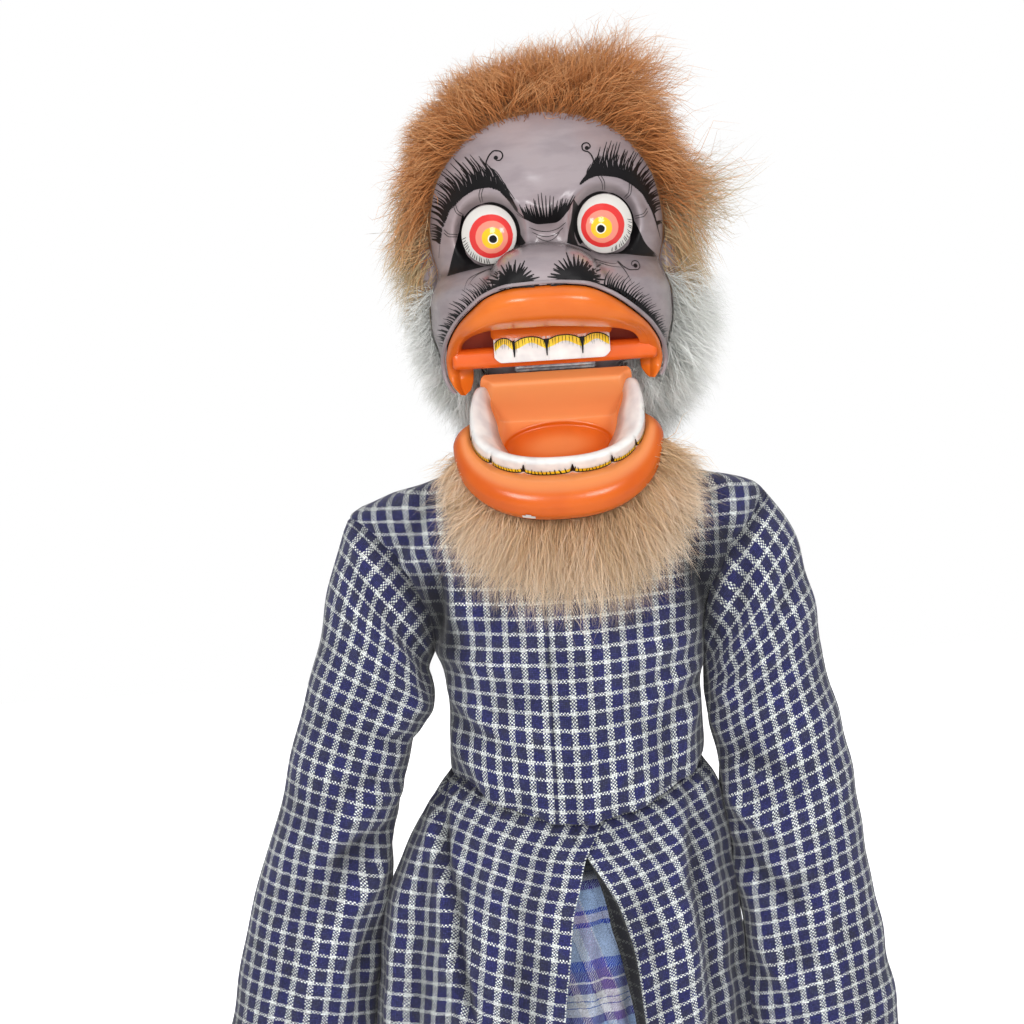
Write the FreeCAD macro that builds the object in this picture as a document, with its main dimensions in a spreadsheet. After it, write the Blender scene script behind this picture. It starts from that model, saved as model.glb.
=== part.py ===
import FreeCAD, Part
import Sketcher
import math
import os
import re

# Wooden rod puppet: a carved ogre head with a hinged jaw on a turned rod, a wooden chest that
# turns on the rod, jointed arms with their own rods, fur hair and beard, and a woven robe.
# Millimetres. +Z up, the face looks along -Y, +X is to the viewer's right.
# The origin is the middle of the main rod's lower end.

Vector = FreeCAD.Vector
document = FreeCAD.newDocument("rod_puppet")

# Driving dimensions

DRIVING = {
    # main rod
    "rod_radius": 6.5,
    "rod_foot_radius": 7.0,
    "rod_foot_length": 42.0,
    "rod_grip_radius": 12.5,
    "rod_grip_top": 205.0,
    "rod_collar_radius": 12.0,
    "rod_collar_height": 9.0,
    "rod_tenon_radius": 5.8,
    "rod_tenon_length": 62.0,
    "running_gap": 0.3,
    "fit_gap": 0.05,
    # chest
    "chest_foot": 478.0,
    "neck_seat": 638.0,
    "neck_radius": 18.0,
    "shoulder_height": 612.0,
    "shoulder_span": 156.0,
    "chest_half_width": 57.0,
    "chest_half_depth": 30.0,
    "waist_half_width": 37.0,
    "waist_half_depth": 26.0,
    # head
    "crown_height": 820.0,
    "head_half_width": 54.5,
    "head_half_depth": 52.0,
    "muzzle_half_width": 51.0,
    "muzzle_reach": 84.0,
    "palate_height": 706.0,
    "lip_top_height": 731.0,
    "eye_height": 752.0,
    "eye_spacing": 49.6,
    "eye_radius": 12.8,
    "eye_dome": 5.0,
    "eye_turn": 12.0,
    "eye_floor_reach": 47.0,
    "nose_half_width": 27.0,
    "nose_reach": 86.0,
    "ear_height": 44.0,
    # jaw and hinge
    "hinge_height": 690.0,
    "hinge_setback": 26.0,
    "hinge_length": 36.0,
    "knuckle_radius": 1.8,
    "hinge_pin_radius": 0.9,
    "leaf_thickness": 1.0,
    "leaf_width": 6.0,
    "screw_radius": 1.1,
    "screw_length": 6.0,
    "screw_spacing": 24.0,
    "jaw_drop": 46.0,
    "jaw_half_width": 47.5,
    "jaw_length": 71.0,
    "jaw_depth": 36.0,
    "bowl_half_width": 33.0,
    "tooth_height": 8.5,
    "tooth_band_half_width": 39.0,
    "tooth_band_thickness": 4.0,
    "gum_bar_half_length": 46.0,
    "gum_bar_height": 9.5,
    "gum_bar_depth": 9.0,
    "lever_length": 15.0,
    "lever_width": 7.0,
    "lever_thickness": 1.6,
    # fur
    "hair_thickness": 17.0,
    "hair_top": 842.0,
    "nape_foot": 652.0,
    "beard_foot": 580.0,
    "beard_half_width": 62.0,
    # cloth
    "cloth_thickness": 2.2,
    "cloth_gap": 0.3,
    "waist_height": 492.0,
    "tie_height": 7.0,
    "blouse_half_width": 60.0,
    "blouse_half_depth": 42.0,
    "skirt_hem": 290.0,
    "skirt_half_width": 92.0,
    "skirt_half_depth": 66.0,
    "skirt_opening_turn": 14.0,
    "sarong_hem": 190.0,
    "sarong_half_width": 66.0,
    "sarong_half_depth": 48.0,
    "hang_to_left": 18.0,
    # arms
    "left_splay": 14.0,
    "right_splay": 6.0,
    "upper_arm_length": 118.0,
    "upper_arm_radius": 11.0,
    "forearm_length": 116.0,
    "forearm_radius": 9.0,
    "wrist_radius": 6.2,
    "hand_length": 50.0,
    "hand_width": 19.0,
    "palm_thickness": 8.0,
    "peg_radius": 2.0,
    "loop_radius": 2.4,
    "tongue_thickness": 5.6,
    "arm_rod_radius": 2.4,
    "arm_rod_eye_half": 2.9,
    "arm_rod_foot": 14.0,
    "arm_rod_grip_radius": 4.2,
    "sleeve_half_width": 34.0,
    "sleeve_half_depth": 29.0,
    "sleeve_hem_drop": 254.0,
}

sizes = document.addObject("Spreadsheet::Sheet", "Sizes")
for row, (alias, value) in enumerate(DRIVING.items(), 1):
    sizes.set(f"A{row}", alias)
    sizes.set(f"B{row}", str(value))
    sizes.setAlias(f"B{row}", alias)
document.recompute()


def bound(text):
    """The expression with each named size taken from the sheet."""
    return re.sub(r"[a-z]+(?:_[a-z]+)+", lambda word: "Sizes." + word.group(0), text)


def value(text):
    """The number that an expression of named sizes gives."""
    return float(sizes.evalExpression(bound(text)))


# Bound primitives, sketches and booleans

PLACES = {
    "x": "Placement.Base.x",
    "y": "Placement.Base.y",
    "z": "Placement.Base.z",
    "angle": "Placement.Rotation.Angle",
}


def solid(kind, name, axis=(0, 0, 1), **ties):
    """A primitive whose sizes and place are tied to the sheet."""
    thing = document.addObject("Part::" + kind, name)
    thing.Placement.Rotation = FreeCAD.Rotation(Vector(*axis), 1)
    thing.Placement.Rotation = FreeCAD.Rotation(Vector(*axis), value(ties.get("angle", "0")))
    for key, text in ties.items():
        thing.setExpression(PLACES.get(key, key), bound(text))
    return thing


def joined(name, *things):
    thing = document.addObject("Part::MultiFuse", name)
    thing.Shapes = list(things)
    return thing


def less(name, base, *tools):
    """The base with every tool taken away."""
    thing = document.addObject("Part::Cut", name)
    thing.Base = base
    thing.Tool = tools[0] if len(tools) == 1 else joined(name + "_cutters", *tools)
    return thing


def shared(name, *things):
    thing = document.addObject("Part::MultiCommon", name)
    thing.Shapes = list(things)
    return thing


def carved(name, shape, place=None):
    """A carved or sewn form that no primitive gives, worked out from the sheet."""
    thing = document.addObject("Part::Feature", name)
    thing.Shape = shape
    if place:
        thing.Placement = place
    return thing


def origin_plane(body, role):
    return next(item for item in body.Origin.OriginFeatures if item.Role == role)


def outline(body, name, role, corners):
    """A closed outline of straight runs, each corner tied to the sheet."""
    sketch = body.newObject("Sketcher::SketchObject", name)
    sketch.AttachmentSupport = [(origin_plane(body, role), "")]
    sketch.MapMode = "FlatFace"
    places = [Vector(value(across), value(up), 0) for across, up in corners]
    count = len(corners)
    for index in range(count):
        sketch.addGeometry(Part.LineSegment(places[index], places[(index + 1) % count]), False)
    for index in range(count):
        sketch.addConstraint(Sketcher.Constraint("Coincident", index, 2, (index + 1) % count, 1))
    for index, texts in enumerate(corners):
        kinds = (("DistanceX", -2, places[index].x), ("DistanceY", -1, places[index].y))
        for (kind, own_axis, start), text in zip(kinds, texts):
            if text == "0":
                sketch.addConstraint(Sketcher.Constraint("PointOnObject", index, 1, own_axis))
                continue
            number = sketch.addConstraint(Sketcher.Constraint(kind, -1, 1, index, 1, start))
            label = f"{kind[-1].lower()}_{index}"
            sketch.renameConstraint(number, label)
            sketch.setExpression("Constraints." + label, bound(text))
    return sketch


def turned(name, corners, **ties):
    """A piece turned on a lathe: its half profile, radius and height, spun about Z."""
    body = document.addObject("PartDesign::Body", name)
    profile = outline(body, name + "_profile", "XZ_Plane", corners)
    spin = body.newObject("PartDesign::Revolution", name + "_turning")
    spin.Profile = profile
    spin.ReferenceAxis = (profile, ["V_Axis"])
    spin.Angle = 360
    for key, text in ties.items():
        body.setExpression(PLACES[key], bound(text))
    return body


def softened(body, name, radius, heights):
    """Rounds the turned edges that lie at the given heights."""
    document.recompute()
    wanted = [value(height) for height in heights]
    base = body.Tip
    edges = []
    for number, edge in enumerate(base.Shape.Edges, 1):
        low, high = edge.BoundBox.ZMin, edge.BoundBox.ZMax
        if high - low < 0.01 and min(abs(low - height) for height in wanted) < 0.01:
            edges.append(f"Edge{number}")
    rounding = body.newObject("PartDesign::Fillet", name)
    rounding.Base = (base, edges)
    rounding.Radius = radius
    return body


# Carved and sewn forms

CARVED_STEPS = 16
SEWN_STEPS = 28


def oval_places(height, half_width, half_depth, middle_y, middle_x, squareness, steps):
    """Points of |x / w| ^ n + |y / d| ^ n = 1 at one height."""
    power = 2.0 / squareness
    places = []
    for step in range(steps):
        angle = 2 * math.pi * step / steps
        across = math.copysign(abs(math.cos(angle)) ** power, math.cos(angle))
        along = math.copysign(abs(math.sin(angle)) ** power, math.sin(angle))
        places.append(Vector(middle_x + half_width * across, middle_y + half_depth * along, height))
    return places


def oval(height, half_width, half_depth, middle_y=0.0, middle_x=0.0, squareness=2.0, sewn=False):
    """A closed outline at one height: a smooth curve on wood, short straight runs on cloth and hide."""
    steps = SEWN_STEPS if sewn else CARVED_STEPS
    places = oval_places(height, half_width, half_depth, middle_y, middle_x, squareness, steps)
    if sewn:
        return Part.makePolygon(places + places[:1])
    curve = Part.BSplineCurve()
    curve.interpolate(places, PeriodicFlag=True)
    return Part.Wire([curve.toShape()])


def slopes(heights, levels):
    """The slope at each point of a curve that stays between its neighbours."""
    rises = [(high - low) / (above - below)
             for low, high, below, above in zip(levels, levels[1:], heights, heights[1:])]
    middle = [0.0 if one * other <= 0 else 2 * one * other / (one + other)
              for one, other in zip(rises, rises[1:])]
    return [rises[0]] + middle + [rises[-1]]


def filled(rows, step):
    """The rows with more on a smooth curve between them, about a step apart."""
    heights = [row[0] for row in rows]
    columns = list(zip(*rows))[1:]
    tangents = [slopes(heights, column) for column in columns]
    result = []
    for index, span in enumerate(above - below for below, above in zip(heights, heights[1:])):
        count = 1 if rows[index][1:] == rows[index + 1][1:] else max(1, round(abs(span) / step))
        for part in range(count):
            way = part / count
            ease = way * way * (3 - 2 * way)
            leave = way * (1 - way) ** 2 * span
            arrive = -way * way * (1 - way) * span
            levels = [(1 - ease) * column[index] + ease * column[index + 1]
                      + leave * tangent[index] + arrive * tangent[index + 1]
                      for column, tangent in zip(columns, tangents)]
            result.append((heights[index] + way * span, *levels))
    return result + [rows[-1]]


def stack(rows, grow=0.0, squareness=2.0, step=12.0, sewn=False):
    """A solid through ovals, each row a height, half width, half depth, middle y and middle x."""
    rows = filled([(tuple(row) + (0.0, 0.0))[:5] for row in rows], step)
    wires = [oval(height, half_width + grow, half_depth + grow, middle_y, middle_x, squareness, sewn)
             for height, half_width, half_depth, middle_y, middle_x in rows]
    return Part.makeLoft(wires, True, True)


def draped(rows, grow=0.0, step=45.0):
    """A stack for cloth and hide."""
    return stack(rows, grow, step=step, sewn=True)


def slab(corners, half_length, along="X"):
    """A flat outline carried the same way to both sides: corners are (y, z), or (x, z) along Y."""
    if along == "X":
        places = [Vector(-half_length, first, second) for first, second in corners]
        way = Vector(2 * half_length, 0, 0)
    else:
        places = [Vector(first, -half_length, second) for first, second in corners]
        way = Vector(0, 2 * half_length, 0)
    return Part.Face(Part.makePolygon(places + places[:1])).extrude(way)


def leaf(points, half_length):
    """A smooth closed outline in X and Z carried to both sides along Y."""
    curve = Part.BSplineCurve()
    curve.interpolate([Vector(across, -half_length, up) for across, up in points], PeriodicFlag=True)
    return Part.Face(Part.Wire([curve.toShape()])).extrude(Vector(0, 2 * half_length, 0))


def block(x_low, x_high, y_low, y_high, z_low, z_high):
    return Part.makeBox(x_high - x_low, y_high - y_low, z_high - z_low, Vector(x_low, y_low, z_low))


sized = {alias: sizes.get(alias) for alias in DRIVING}
FAR = 150.0

# Main rod
# A turned hardwood rod: foot, grip, slim shank, a collar that carries the chest, and a tenon
# that is glued into the neck.

main_rod = turned("main_rod", (
    ("0", "0"),
    ("rod_foot_radius", "0"),
    ("rod_foot_radius", "rod_foot_length"),
    ("rod_grip_radius - 1", "rod_foot_length + 28"),
    ("rod_grip_radius", "rod_foot_length + 70"),
    ("rod_grip_radius - 2.5", "rod_grip_top - 45"),
    ("rod_radius", "rod_grip_top"),
    ("rod_radius", "chest_foot - rod_collar_height - 6"),
    ("rod_collar_radius", "chest_foot - rod_collar_height"),
    ("rod_collar_radius", "chest_foot"),
    ("rod_radius", "chest_foot"),
    ("rod_radius", "neck_seat"),
    ("rod_tenon_radius", "neck_seat"),
    ("rod_tenon_radius", "neck_seat + rod_tenon_length"),
    ("0", "neck_seat + rod_tenon_length"),
))
softened(main_rod, "main_rod_rounding", 30, (
    "rod_foot_length + 28", "rod_foot_length + 70", "rod_grip_top - 45",
))

# Jaw
# Carved as a scoop in its own frame, whose origin lies on the hinge axis: the rim rises to the
# front, the underside slopes up to the hinge, so that the jaw hangs clear of the neck.

jaw_wide = sized["jaw_half_width"]
jaw_long = sized["jaw_length"]
jaw_deep = sized["jaw_depth"]
knuckle = sized["knuckle_radius"]
leaf_deep = sized["leaf_width"]
leaf_thick = sized["leaf_thickness"]
JAW_BACK = -(knuckle + 0.6)
WALL_TOP = 0.5
GUM_DROP = 4.0
JAW_SQUARENESS = 2.3
jaw_mid = -0.42 * jaw_long
jaw_reach = jaw_long + jaw_mid

# The lip: a thick roll round the front and sides, widest below the gum.
jaw_rows = (
    (2.0, jaw_wide - 9, jaw_reach - 10, jaw_mid),
    (-GUM_DROP, jaw_wide - 6, jaw_reach - 7, jaw_mid),
    (-0.22 * jaw_deep, jaw_wide - 1.2, jaw_reach - 1.5, jaw_mid),
    (-0.4 * jaw_deep, jaw_wide, jaw_reach, jaw_mid),
    (-0.58 * jaw_deep, jaw_wide - 3.5, jaw_reach - 4.5, jaw_mid + 1),
    (-0.8 * jaw_deep, jaw_wide * 0.68, jaw_reach * 0.66, jaw_mid + 3),
    (-1.03 * jaw_deep, jaw_wide * 0.4, jaw_reach * 0.4, jaw_mid + 2),
)
WALL_FRONT = -(knuckle + leaf_deep + 2.2)
jaw_side = (
    (JAW_BACK, WALL_TOP),
    (WALL_FRONT - 1.0, WALL_TOP),
    (WALL_FRONT - 5.0, -GUM_DROP),
    (-jaw_long - 4, -GUM_DROP),
    (-jaw_long - 4, -jaw_deep),
    (-0.6 * jaw_long, -jaw_deep),
    (JAW_BACK, -6.5),
)
jaw_shell = stack(jaw_rows, squareness=JAW_SQUARENESS).common(slab(jaw_side, FAR))

# Lower teeth
# A horseshoe wall that stands inside the lip, with a shallow groove between the wide teeth.

band_wide = sized["tooth_band_half_width"]
band_mid = -0.345 * jaw_long
BAND_SQUARENESS = 2.5
BAND_BACK = -7.5
band_long = 0.775 * jaw_long + band_mid
tooth_top = sized["tooth_height"] - GUM_DROP - 1
band_side = (
    (BAND_BACK, -9.0),
    (BAND_BACK, WALL_TOP),
    (BAND_BACK - 5, WALL_TOP + 0.8),
    (BAND_BACK - 10, tooth_top),
    (-jaw_long, tooth_top + 1),
    (-jaw_long, -9.0),
)
band_rows = [(-10.0, band_wide, band_long, band_mid), (7.0, band_wide - 1.5, band_long - 1.5, band_mid)]
tooth_band = stack(band_rows, squareness=BAND_SQUARENESS, step=FAR).common(slab(band_side, FAR))
LOWER_TEETH = 7
TEETH_FROM = 170.0
GROOVE_RADIUS = 0.9
grooves = []
for number in range(1, LOWER_TEETH):
    bearing = math.radians(TEETH_FROM + (540 - 2 * TEETH_FROM) * number / LOWER_TEETH)
    power = 2.0 / BAND_SQUARENESS
    across = math.copysign(abs(math.cos(bearing)) ** power, math.cos(bearing))
    along = math.copysign(abs(math.sin(bearing)) ** power, math.sin(bearing))
    place = Vector((band_wide - 0.7) * across, band_mid + (band_long - 0.7) * along, -GUM_DROP)
    grooves.append(Part.makeCylinder(GROOVE_RADIUS, 20, place))
band_wall = sized["tooth_band_thickness"]
between_ends = block(band_wall - band_wide, band_wide - band_wall, WALL_FRONT - 1, 0, WALL_TOP, tooth_top + 2)
tooth_band = tooth_band.cut(grooves + [between_ends])

# The bowl of the mouth, and the cuts that take the hinge's lower leaf and the lever.
bowl_wide = sized["bowl_half_width"]
bowl_rows = (
    (-0.66 * jaw_deep, bowl_wide * 0.72, band_long * 0.62, band_mid - 1),
    (-0.4 * jaw_deep, bowl_wide * 0.92, band_long * 0.82, band_mid),
    (-GUM_DROP, bowl_wide, band_long - band_wall - 1.5, band_mid),
    (8.0, band_wide - band_wall, band_long - band_wall, band_mid),
)
bowl_side = (
    (WALL_FRONT, FAR),
    (-jaw_long - 4, FAR),
    (-jaw_long - 4, -0.66 * jaw_deep),
    (WALL_FRONT, -0.66 * jaw_deep),
)
bowl = stack(bowl_rows, squareness=BAND_SQUARENESS).common(slab(bowl_side, FAR))
KERF_GAP = 0.05
half_hinge = sized["hinge_length"] / 2
leaf_kerf = block(-half_hinge - 0.3, half_hinge + 0.3, -knuckle - leaf_deep - 0.3, JAW_BACK + 1,
                  -knuckle - KERF_GAP, -knuckle + leaf_thick + KERF_GAP)
lever_slot = block(-sized["lever_width"] / 2, sized["lever_width"] / 2,
                   JAW_BACK - 5, JAW_BACK + 1,
                   -knuckle - 3.2 - sized["lever_thickness"] / 2,
                   -knuckle - 3.2 + sized["lever_thickness"] / 2)
screw_at = -leaf_deep / 2 - knuckle


def screw_bores(low, high, at_y, radius=sized["screw_radius"]):
    """Two holes for the hinge screws or their heads, from one height to another."""
    apart = sized["screw_spacing"] / 2
    bores = [Part.makeCylinder(radius, high - low, Vector(side * apart, at_y, low)) for side in (-1, 1)]
    return Part.makeCompound(bores)


head_seats = screw_bores(WALL_TOP - 0.5, WALL_TOP + 1, screw_at, 2 * sized["screw_radius"])
jaw_shape = jaw_shell.fuse(tooth_band).cut([
    bowl, leaf_kerf, lever_slot, head_seats,
    screw_bores(-knuckle - sized["screw_length"], WALL_TOP, screw_at)])
hinge_place = FreeCAD.Placement(
    Vector(0, -sized["hinge_setback"], sized["hinge_height"]),
    FreeCAD.Rotation(Vector(1, 0, 0), sized["jaw_drop"]),
)
lower_jaw = carved("lower_jaw", jaw_shape, hinge_place)

# Hinge
# A small steel butt hinge between the gum bar and the jaw's back wall: two leaves with
# interleaved knuckles on one pin, and countersunk screws.


def hinge_leaf(name, side, own_knuckles, turn):
    """One leaf: its plate, its knuckles round the axis, and the pin's bore through them."""
    pitch = "hinge_length / 3"
    plate = solid("Box", name + "_plate", Length="hinge_length", Width="leaf_width - 0.5",
                  Height="leaf_thickness", x="-hinge_length / 2", y="-leaf_width - knuckle_radius",
                  z=f"{side} * knuckle_radius" + (" - leaf_thickness" if side > 0 else ""))
    pieces = [plate]
    bores = []
    for place in own_knuckles:
        start = f"-hinge_length / 2 + {place} * {pitch} + 0.15"
        barrel = solid("Cylinder", f"{name}_knuckle_{place}", axis=(0, 1, 0), Radius="knuckle_radius",
                       Height=f"{pitch} - 0.3", x=start, angle="90")
        tab = solid("Box", f"{name}_tab_{place}", Length=f"{pitch} - 0.3",
                    Width="knuckle_radius + 1", Height="leaf_thickness", x=start,
                    y="-knuckle_radius - 1",
                    z=f"{side} * knuckle_radius" + (" - leaf_thickness" if side > 0 else ""))
        pieces.extend((barrel, tab))
    bore = solid("Cylinder", name + "_bore", axis=(0, 1, 0), Radius="hinge_pin_radius + fit_gap",
                 Height="hinge_length + 2", x="-hinge_length / 2 - 1", angle="90")
    bores.append(bore)
    for hand, text in enumerate(("-screw_spacing / 2", "screw_spacing / 2")):
        bores.append(solid("Cylinder", f"{name}_hole_{hand}", Radius="screw_radius",
                           Height="3 * leaf_thickness + 2 * knuckle_radius",
                           x=text, y="-leaf_width / 2 - knuckle_radius",
                           z="-leaf_thickness - knuckle_radius"))
    made = less(name, joined(name + "_blank", *pieces), *bores)
    made.Placement.Rotation = FreeCAD.Rotation(Vector(1, 0, 0), 1)
    made.setExpression("Placement.Rotation.Angle", bound(turn))
    made.setExpression("Placement.Base.y", bound("-hinge_setback"))
    made.setExpression("Placement.Base.z", bound("hinge_height"))
    return made


hinge_upper_leaf = hinge_leaf("hinge_upper_leaf", 1, (0, 2), "0")
hinge_lower_leaf = hinge_leaf("hinge_lower_leaf", -1, (1,), "jaw_drop")
hinge_pin = solid("Cylinder", "hinge_pin", axis=(0, 1, 0), Radius="hinge_pin_radius",
                  Height="hinge_length + 1", angle="90", x="-hinge_length / 2 - 0.5",
                  y="-hinge_setback", z="hinge_height")


def hinge_screws(name, side, turn):
    """Two screws with domed heads on the open face of a leaf."""
    pieces = []
    for hand, text in enumerate(("-screw_spacing / 2", "screw_spacing / 2")):
        at = f"{name}_{hand}"
        seat = "knuckle_radius - leaf_thickness" if side > 0 else f"{WALL_TOP} - 0.5"
        head = solid("Cone", at + "_head", axis=(1, 0, 0), Radius1="1.9 * screw_radius",
                     Radius2="1.2 * screw_radius", Height="0.45", x=text,
                     y="-leaf_width / 2 - knuckle_radius", z=seat, angle="180" if side > 0 else "0")
        low = "knuckle_radius - leaf_thickness" if side > 0 else "-knuckle_radius - screw_length + 0.5"
        long = "leaf_thickness" if side > 0 else f"knuckle_radius + {WALL_TOP} - 0.5"
        shank = solid("Cylinder", at + "_shank", Radius="screw_radius",
                      Height=long + " + screw_length - 0.5", x=text,
                      y="-leaf_width / 2 - knuckle_radius", z=low)
        pieces.append(joined(at, head, shank))
    made = joined(name, *pieces)
    made.Placement.Rotation = FreeCAD.Rotation(Vector(1, 0, 0), 1)
    made.setExpression("Placement.Rotation.Angle", bound(turn))
    made.setExpression("Placement.Base.y", bound("-hinge_setback"))
    made.setExpression("Placement.Base.z", bound("hinge_height"))
    return made


hinge_upper_screws = hinge_screws("hinge_upper_screws", 1, "0")
hinge_lower_screws = hinge_screws("hinge_lower_screws", -1, "jaw_drop")

# Jaw lever
# A steel tail behind the hinge; a string tied to its eye closes the mouth.

lever = less(
    "jaw_lever",
    solid("Box", "lever_strip", Length="lever_width",
          Width="lever_length + knuckle_radius + 0.6 + 5", Height="lever_thickness",
          x="-lever_width / 2", y="-knuckle_radius - 0.6 - 5",
          z="-knuckle_radius - 3.2 - lever_thickness / 2"),
    solid("Cylinder", "lever_eye", Radius="1.4", Height="12", y="lever_length - 3",
          z="-knuckle_radius - 10"),
)
lever.Placement = hinge_place
lever.setExpression("Placement.Rotation.Angle", bound("jaw_drop"))
lever.setExpression("Placement.Base.y", bound("-hinge_setback"))
lever.setExpression("Placement.Base.z", bound("hinge_height"))

# Upper gum bar
# A bar with four carved teeth, let into the mouth's side walls; it carries the upper leaf.

bar_long = sized["gum_bar_half_length"]
palate = sized["palate_height"]
bar_low = sized["hinge_height"] + knuckle
bar_back = -sized["hinge_setback"] - knuckle - 0.6
bar_front = bar_back - sized["gum_bar_depth"]
bar_high = bar_low + sized["gum_bar_height"]
gum_bar = Part.makeLoft([
    Part.makePolygon([Vector(side * bar_long, y, z) for y, z in (
        (bar_back, bar_low), (bar_front, bar_low), (bar_front, bar_high - 2),
        (bar_front + 2, bar_high), (bar_back, bar_high), (bar_back, bar_low))])
    for side in (-1, 1)], True, True)
TEETH_LOW = 1.8
TEETH_HIGH = 2.6
TEETH_PROUD = 3.0
teeth_edges = (-27.0, -18.0, -3.4, 12.6, 25.0)


def swelling(left, right, low, high, proud):
    """A block on the bar's face that narrows towards its front."""
    rings = []
    for inset, lift in ((0.0, 1.0), (0.2, 0.6 - proud), (1.2, -proud)):
        corners = [Vector(across, bar_front + lift, up) for across, up in (
            (left + inset, low + inset), (right - inset, low + inset),
            (right - inset, high - inset), (left + inset, high - inset))]
        rings.append(Part.makePolygon(corners + corners[:1]))
    return Part.makeLoft(rings, True, True)


upper_teeth = [swelling(left + 0.2, right - 0.2, bar_low + TEETH_LOW, bar_high + TEETH_HIGH, TEETH_PROUD)
               for left, right in zip(teeth_edges, teeth_edges[1:])]
gum = swelling(teeth_edges[0] - 1, teeth_edges[-1] + 1, bar_high + TEETH_HIGH - 2, palate - 0.4, TEETH_PROUD - 1)
gum_bar = gum_bar.fuse(upper_teeth + [gum])
gum_bar = gum_bar.cut(screw_bores(bar_low, bar_low + sized["screw_length"] - 0.5,
                                  screw_at - sized["hinge_setback"]))
upper_gum_bar = carved("upper_gum_bar", gum_bar)

# Head
# One carved block: skull, neck, muzzle with the open mouth, nose, brows and ears, bored for
# the rod's tenon, the jaw's lever and its string, and let in for the two eyes.

crown = sized["crown_height"]
seat = sized["neck_seat"]
wide = sized["head_half_width"]
deep = sized["head_half_depth"]
neck = sized["neck_radius"]
lip_top = sized["lip_top_height"]
setback = sized["hinge_setback"]


def skull_rows():
    return (
        (seat + 32, neck + 5, neck + 4, 8.0),
        (palate - 16, wide - 11, deep - 14, 4.0),
        (palate + 9, wide - 2.5, deep - 4, 0.0),
        (palate + 39, wide, deep, -3.0),
        (crown - 48, wide - 1.5, deep - 1, -4.0),
        (crown - 25, wide - 9.5, deep - 9, -3.0),
        (crown - 8, wide - 26, deep - 25, -2.0),
        (crown, wide - 44, deep - 42, -2.0),
    )


neck_shape = stack(((seat, neck, neck), (seat + 22, neck, neck, 1.0), (seat + 50, neck + 6, neck + 8, 4.0)))
muzzle_wide = sized["muzzle_half_width"]
muzzle_reach = sized["muzzle_reach"]
muzzle_mid = -0.405 * muzzle_reach
muzzle_deep = muzzle_reach + muzzle_mid
muzzle = stack((
    (palate - 31, muzzle_wide - 5, muzzle_deep - 6, muzzle_mid),
    (palate - 20, muzzle_wide - 1.5, muzzle_deep - 2, muzzle_mid),
    (palate - 6, muzzle_wide, muzzle_deep, muzzle_mid),
    (palate + 10, muzzle_wide - 0.5, muzzle_deep + 1.5, muzzle_mid),
    (lip_top - 6, muzzle_wide - 4, muzzle_deep, muzzle_mid),
    (lip_top + 1, muzzle_wide - 14, muzzle_deep - 8, muzzle_mid + 3),
    (lip_top + 6, muzzle_wide - 26, muzzle_deep - 18, muzzle_mid + 8),
), squareness=2.8)
nose_wide = sized["nose_half_width"]
nose_reach = sized["nose_reach"]
eye_level = sized["eye_height"]
nose = stack((
    (lip_top - 8, nose_wide * 0.8, 12, -nose_reach + 18),
    (lip_top - 2, nose_wide, 20, -nose_reach + 20.5),
    (lip_top + 6, nose_wide * 0.94, 20, -nose_reach + 20),
    (lip_top + 12, nose_wide * 0.7, 18, -nose_reach + 22),
    (lip_top + 17, nose_wide * 0.36, 12, -nose_reach + 26),
    (lip_top + 25, nose_wide * 0.2, 6, -nose_reach + 34),
))
BROW_RISE = 3.0
brow_arch = leaf((
    (0, eye_level + 1), (-12, eye_level + 9), (-25, eye_level + 19), (-38, eye_level + 14), (-51, eye_level - 6),
    (-50, eye_level + 8), (-38, eye_level + 27), (-22, eye_level + 32), (0, eye_level + 24),
    (22, eye_level + 32), (38, eye_level + 27), (50, eye_level + 8),
    (51, eye_level - 6), (38, eye_level + 14), (25, eye_level + 19), (12, eye_level + 9),
), FAR)
ear_tall = sized["ear_height"]
ear_middle = eye_level - 17


def ear(side, grow=0.0):
    return stack((
        (ear_middle - ear_tall / 2, 3.0, 4.0, -3.0, side * (wide - 1)),
        (ear_middle - 0.3 * ear_tall, 5.5, 7.5, -2.0, side * (wide + 0.5)),
        (ear_middle + 0.1 * ear_tall, 6.5, 9.5, -1.0, side * (wide + 1.5)),
        (ear_middle + 0.36 * ear_tall, 5.5, 7.5, -1.0, side * (wide + 1)),
        (ear_middle + ear_tall / 2, 3.0, 4.0, -1.0, side * (wide - 1)),
    ), grow)


def eye_seat(side):
    """Where an eye is let in: its middle, looking out and slightly to the side."""
    turn = FreeCAD.Rotation(Vector(0, 0, 1), side * sized["eye_turn"])
    look = turn.multiply(FreeCAD.Rotation(Vector(1, 0, 0), 90))
    return FreeCAD.Placement(Vector(side * sized["eye_spacing"] / 2, -sized["eye_floor_reach"], eye_level), look)


EYE_LET_IN = 3.0
brow = stack(skull_rows(), grow=BROW_RISE).common(brow_arch).common(block(-FAR, FAR, -FAR, -20, seat, crown))
head_solid = stack(skull_rows()).fuse([neck_shape, muzzle, nose, brow, ear(-1), ear(1)])
mouth_half = band_wide + 4.5
chamber_rows = [(height, mouth_half, 31.0, -setback - 22.0) for height in (seat + 2, palate)]
chamber = stack(chamber_rows, squareness=2.7)
THROAT_BACK = -setback + 5.5
throat = block(-mouth_half + 4, mouth_half - 4, -setback - 14, THROAT_BACK, seat + 6, palate)
throat = throat.fuse(block(-jaw_wide, jaw_wide, -setback - 14, THROAT_BACK, seat + 6, bar_low - 3))
SEAT_GAP = 0.1
bar_pocket = block(-bar_long - SEAT_GAP, bar_long + SEAT_GAP, bar_front - SEAT_GAP, bar_back + SEAT_GAP,
                   bar_low - SEAT_GAP, bar_high + SEAT_GAP)
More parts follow.
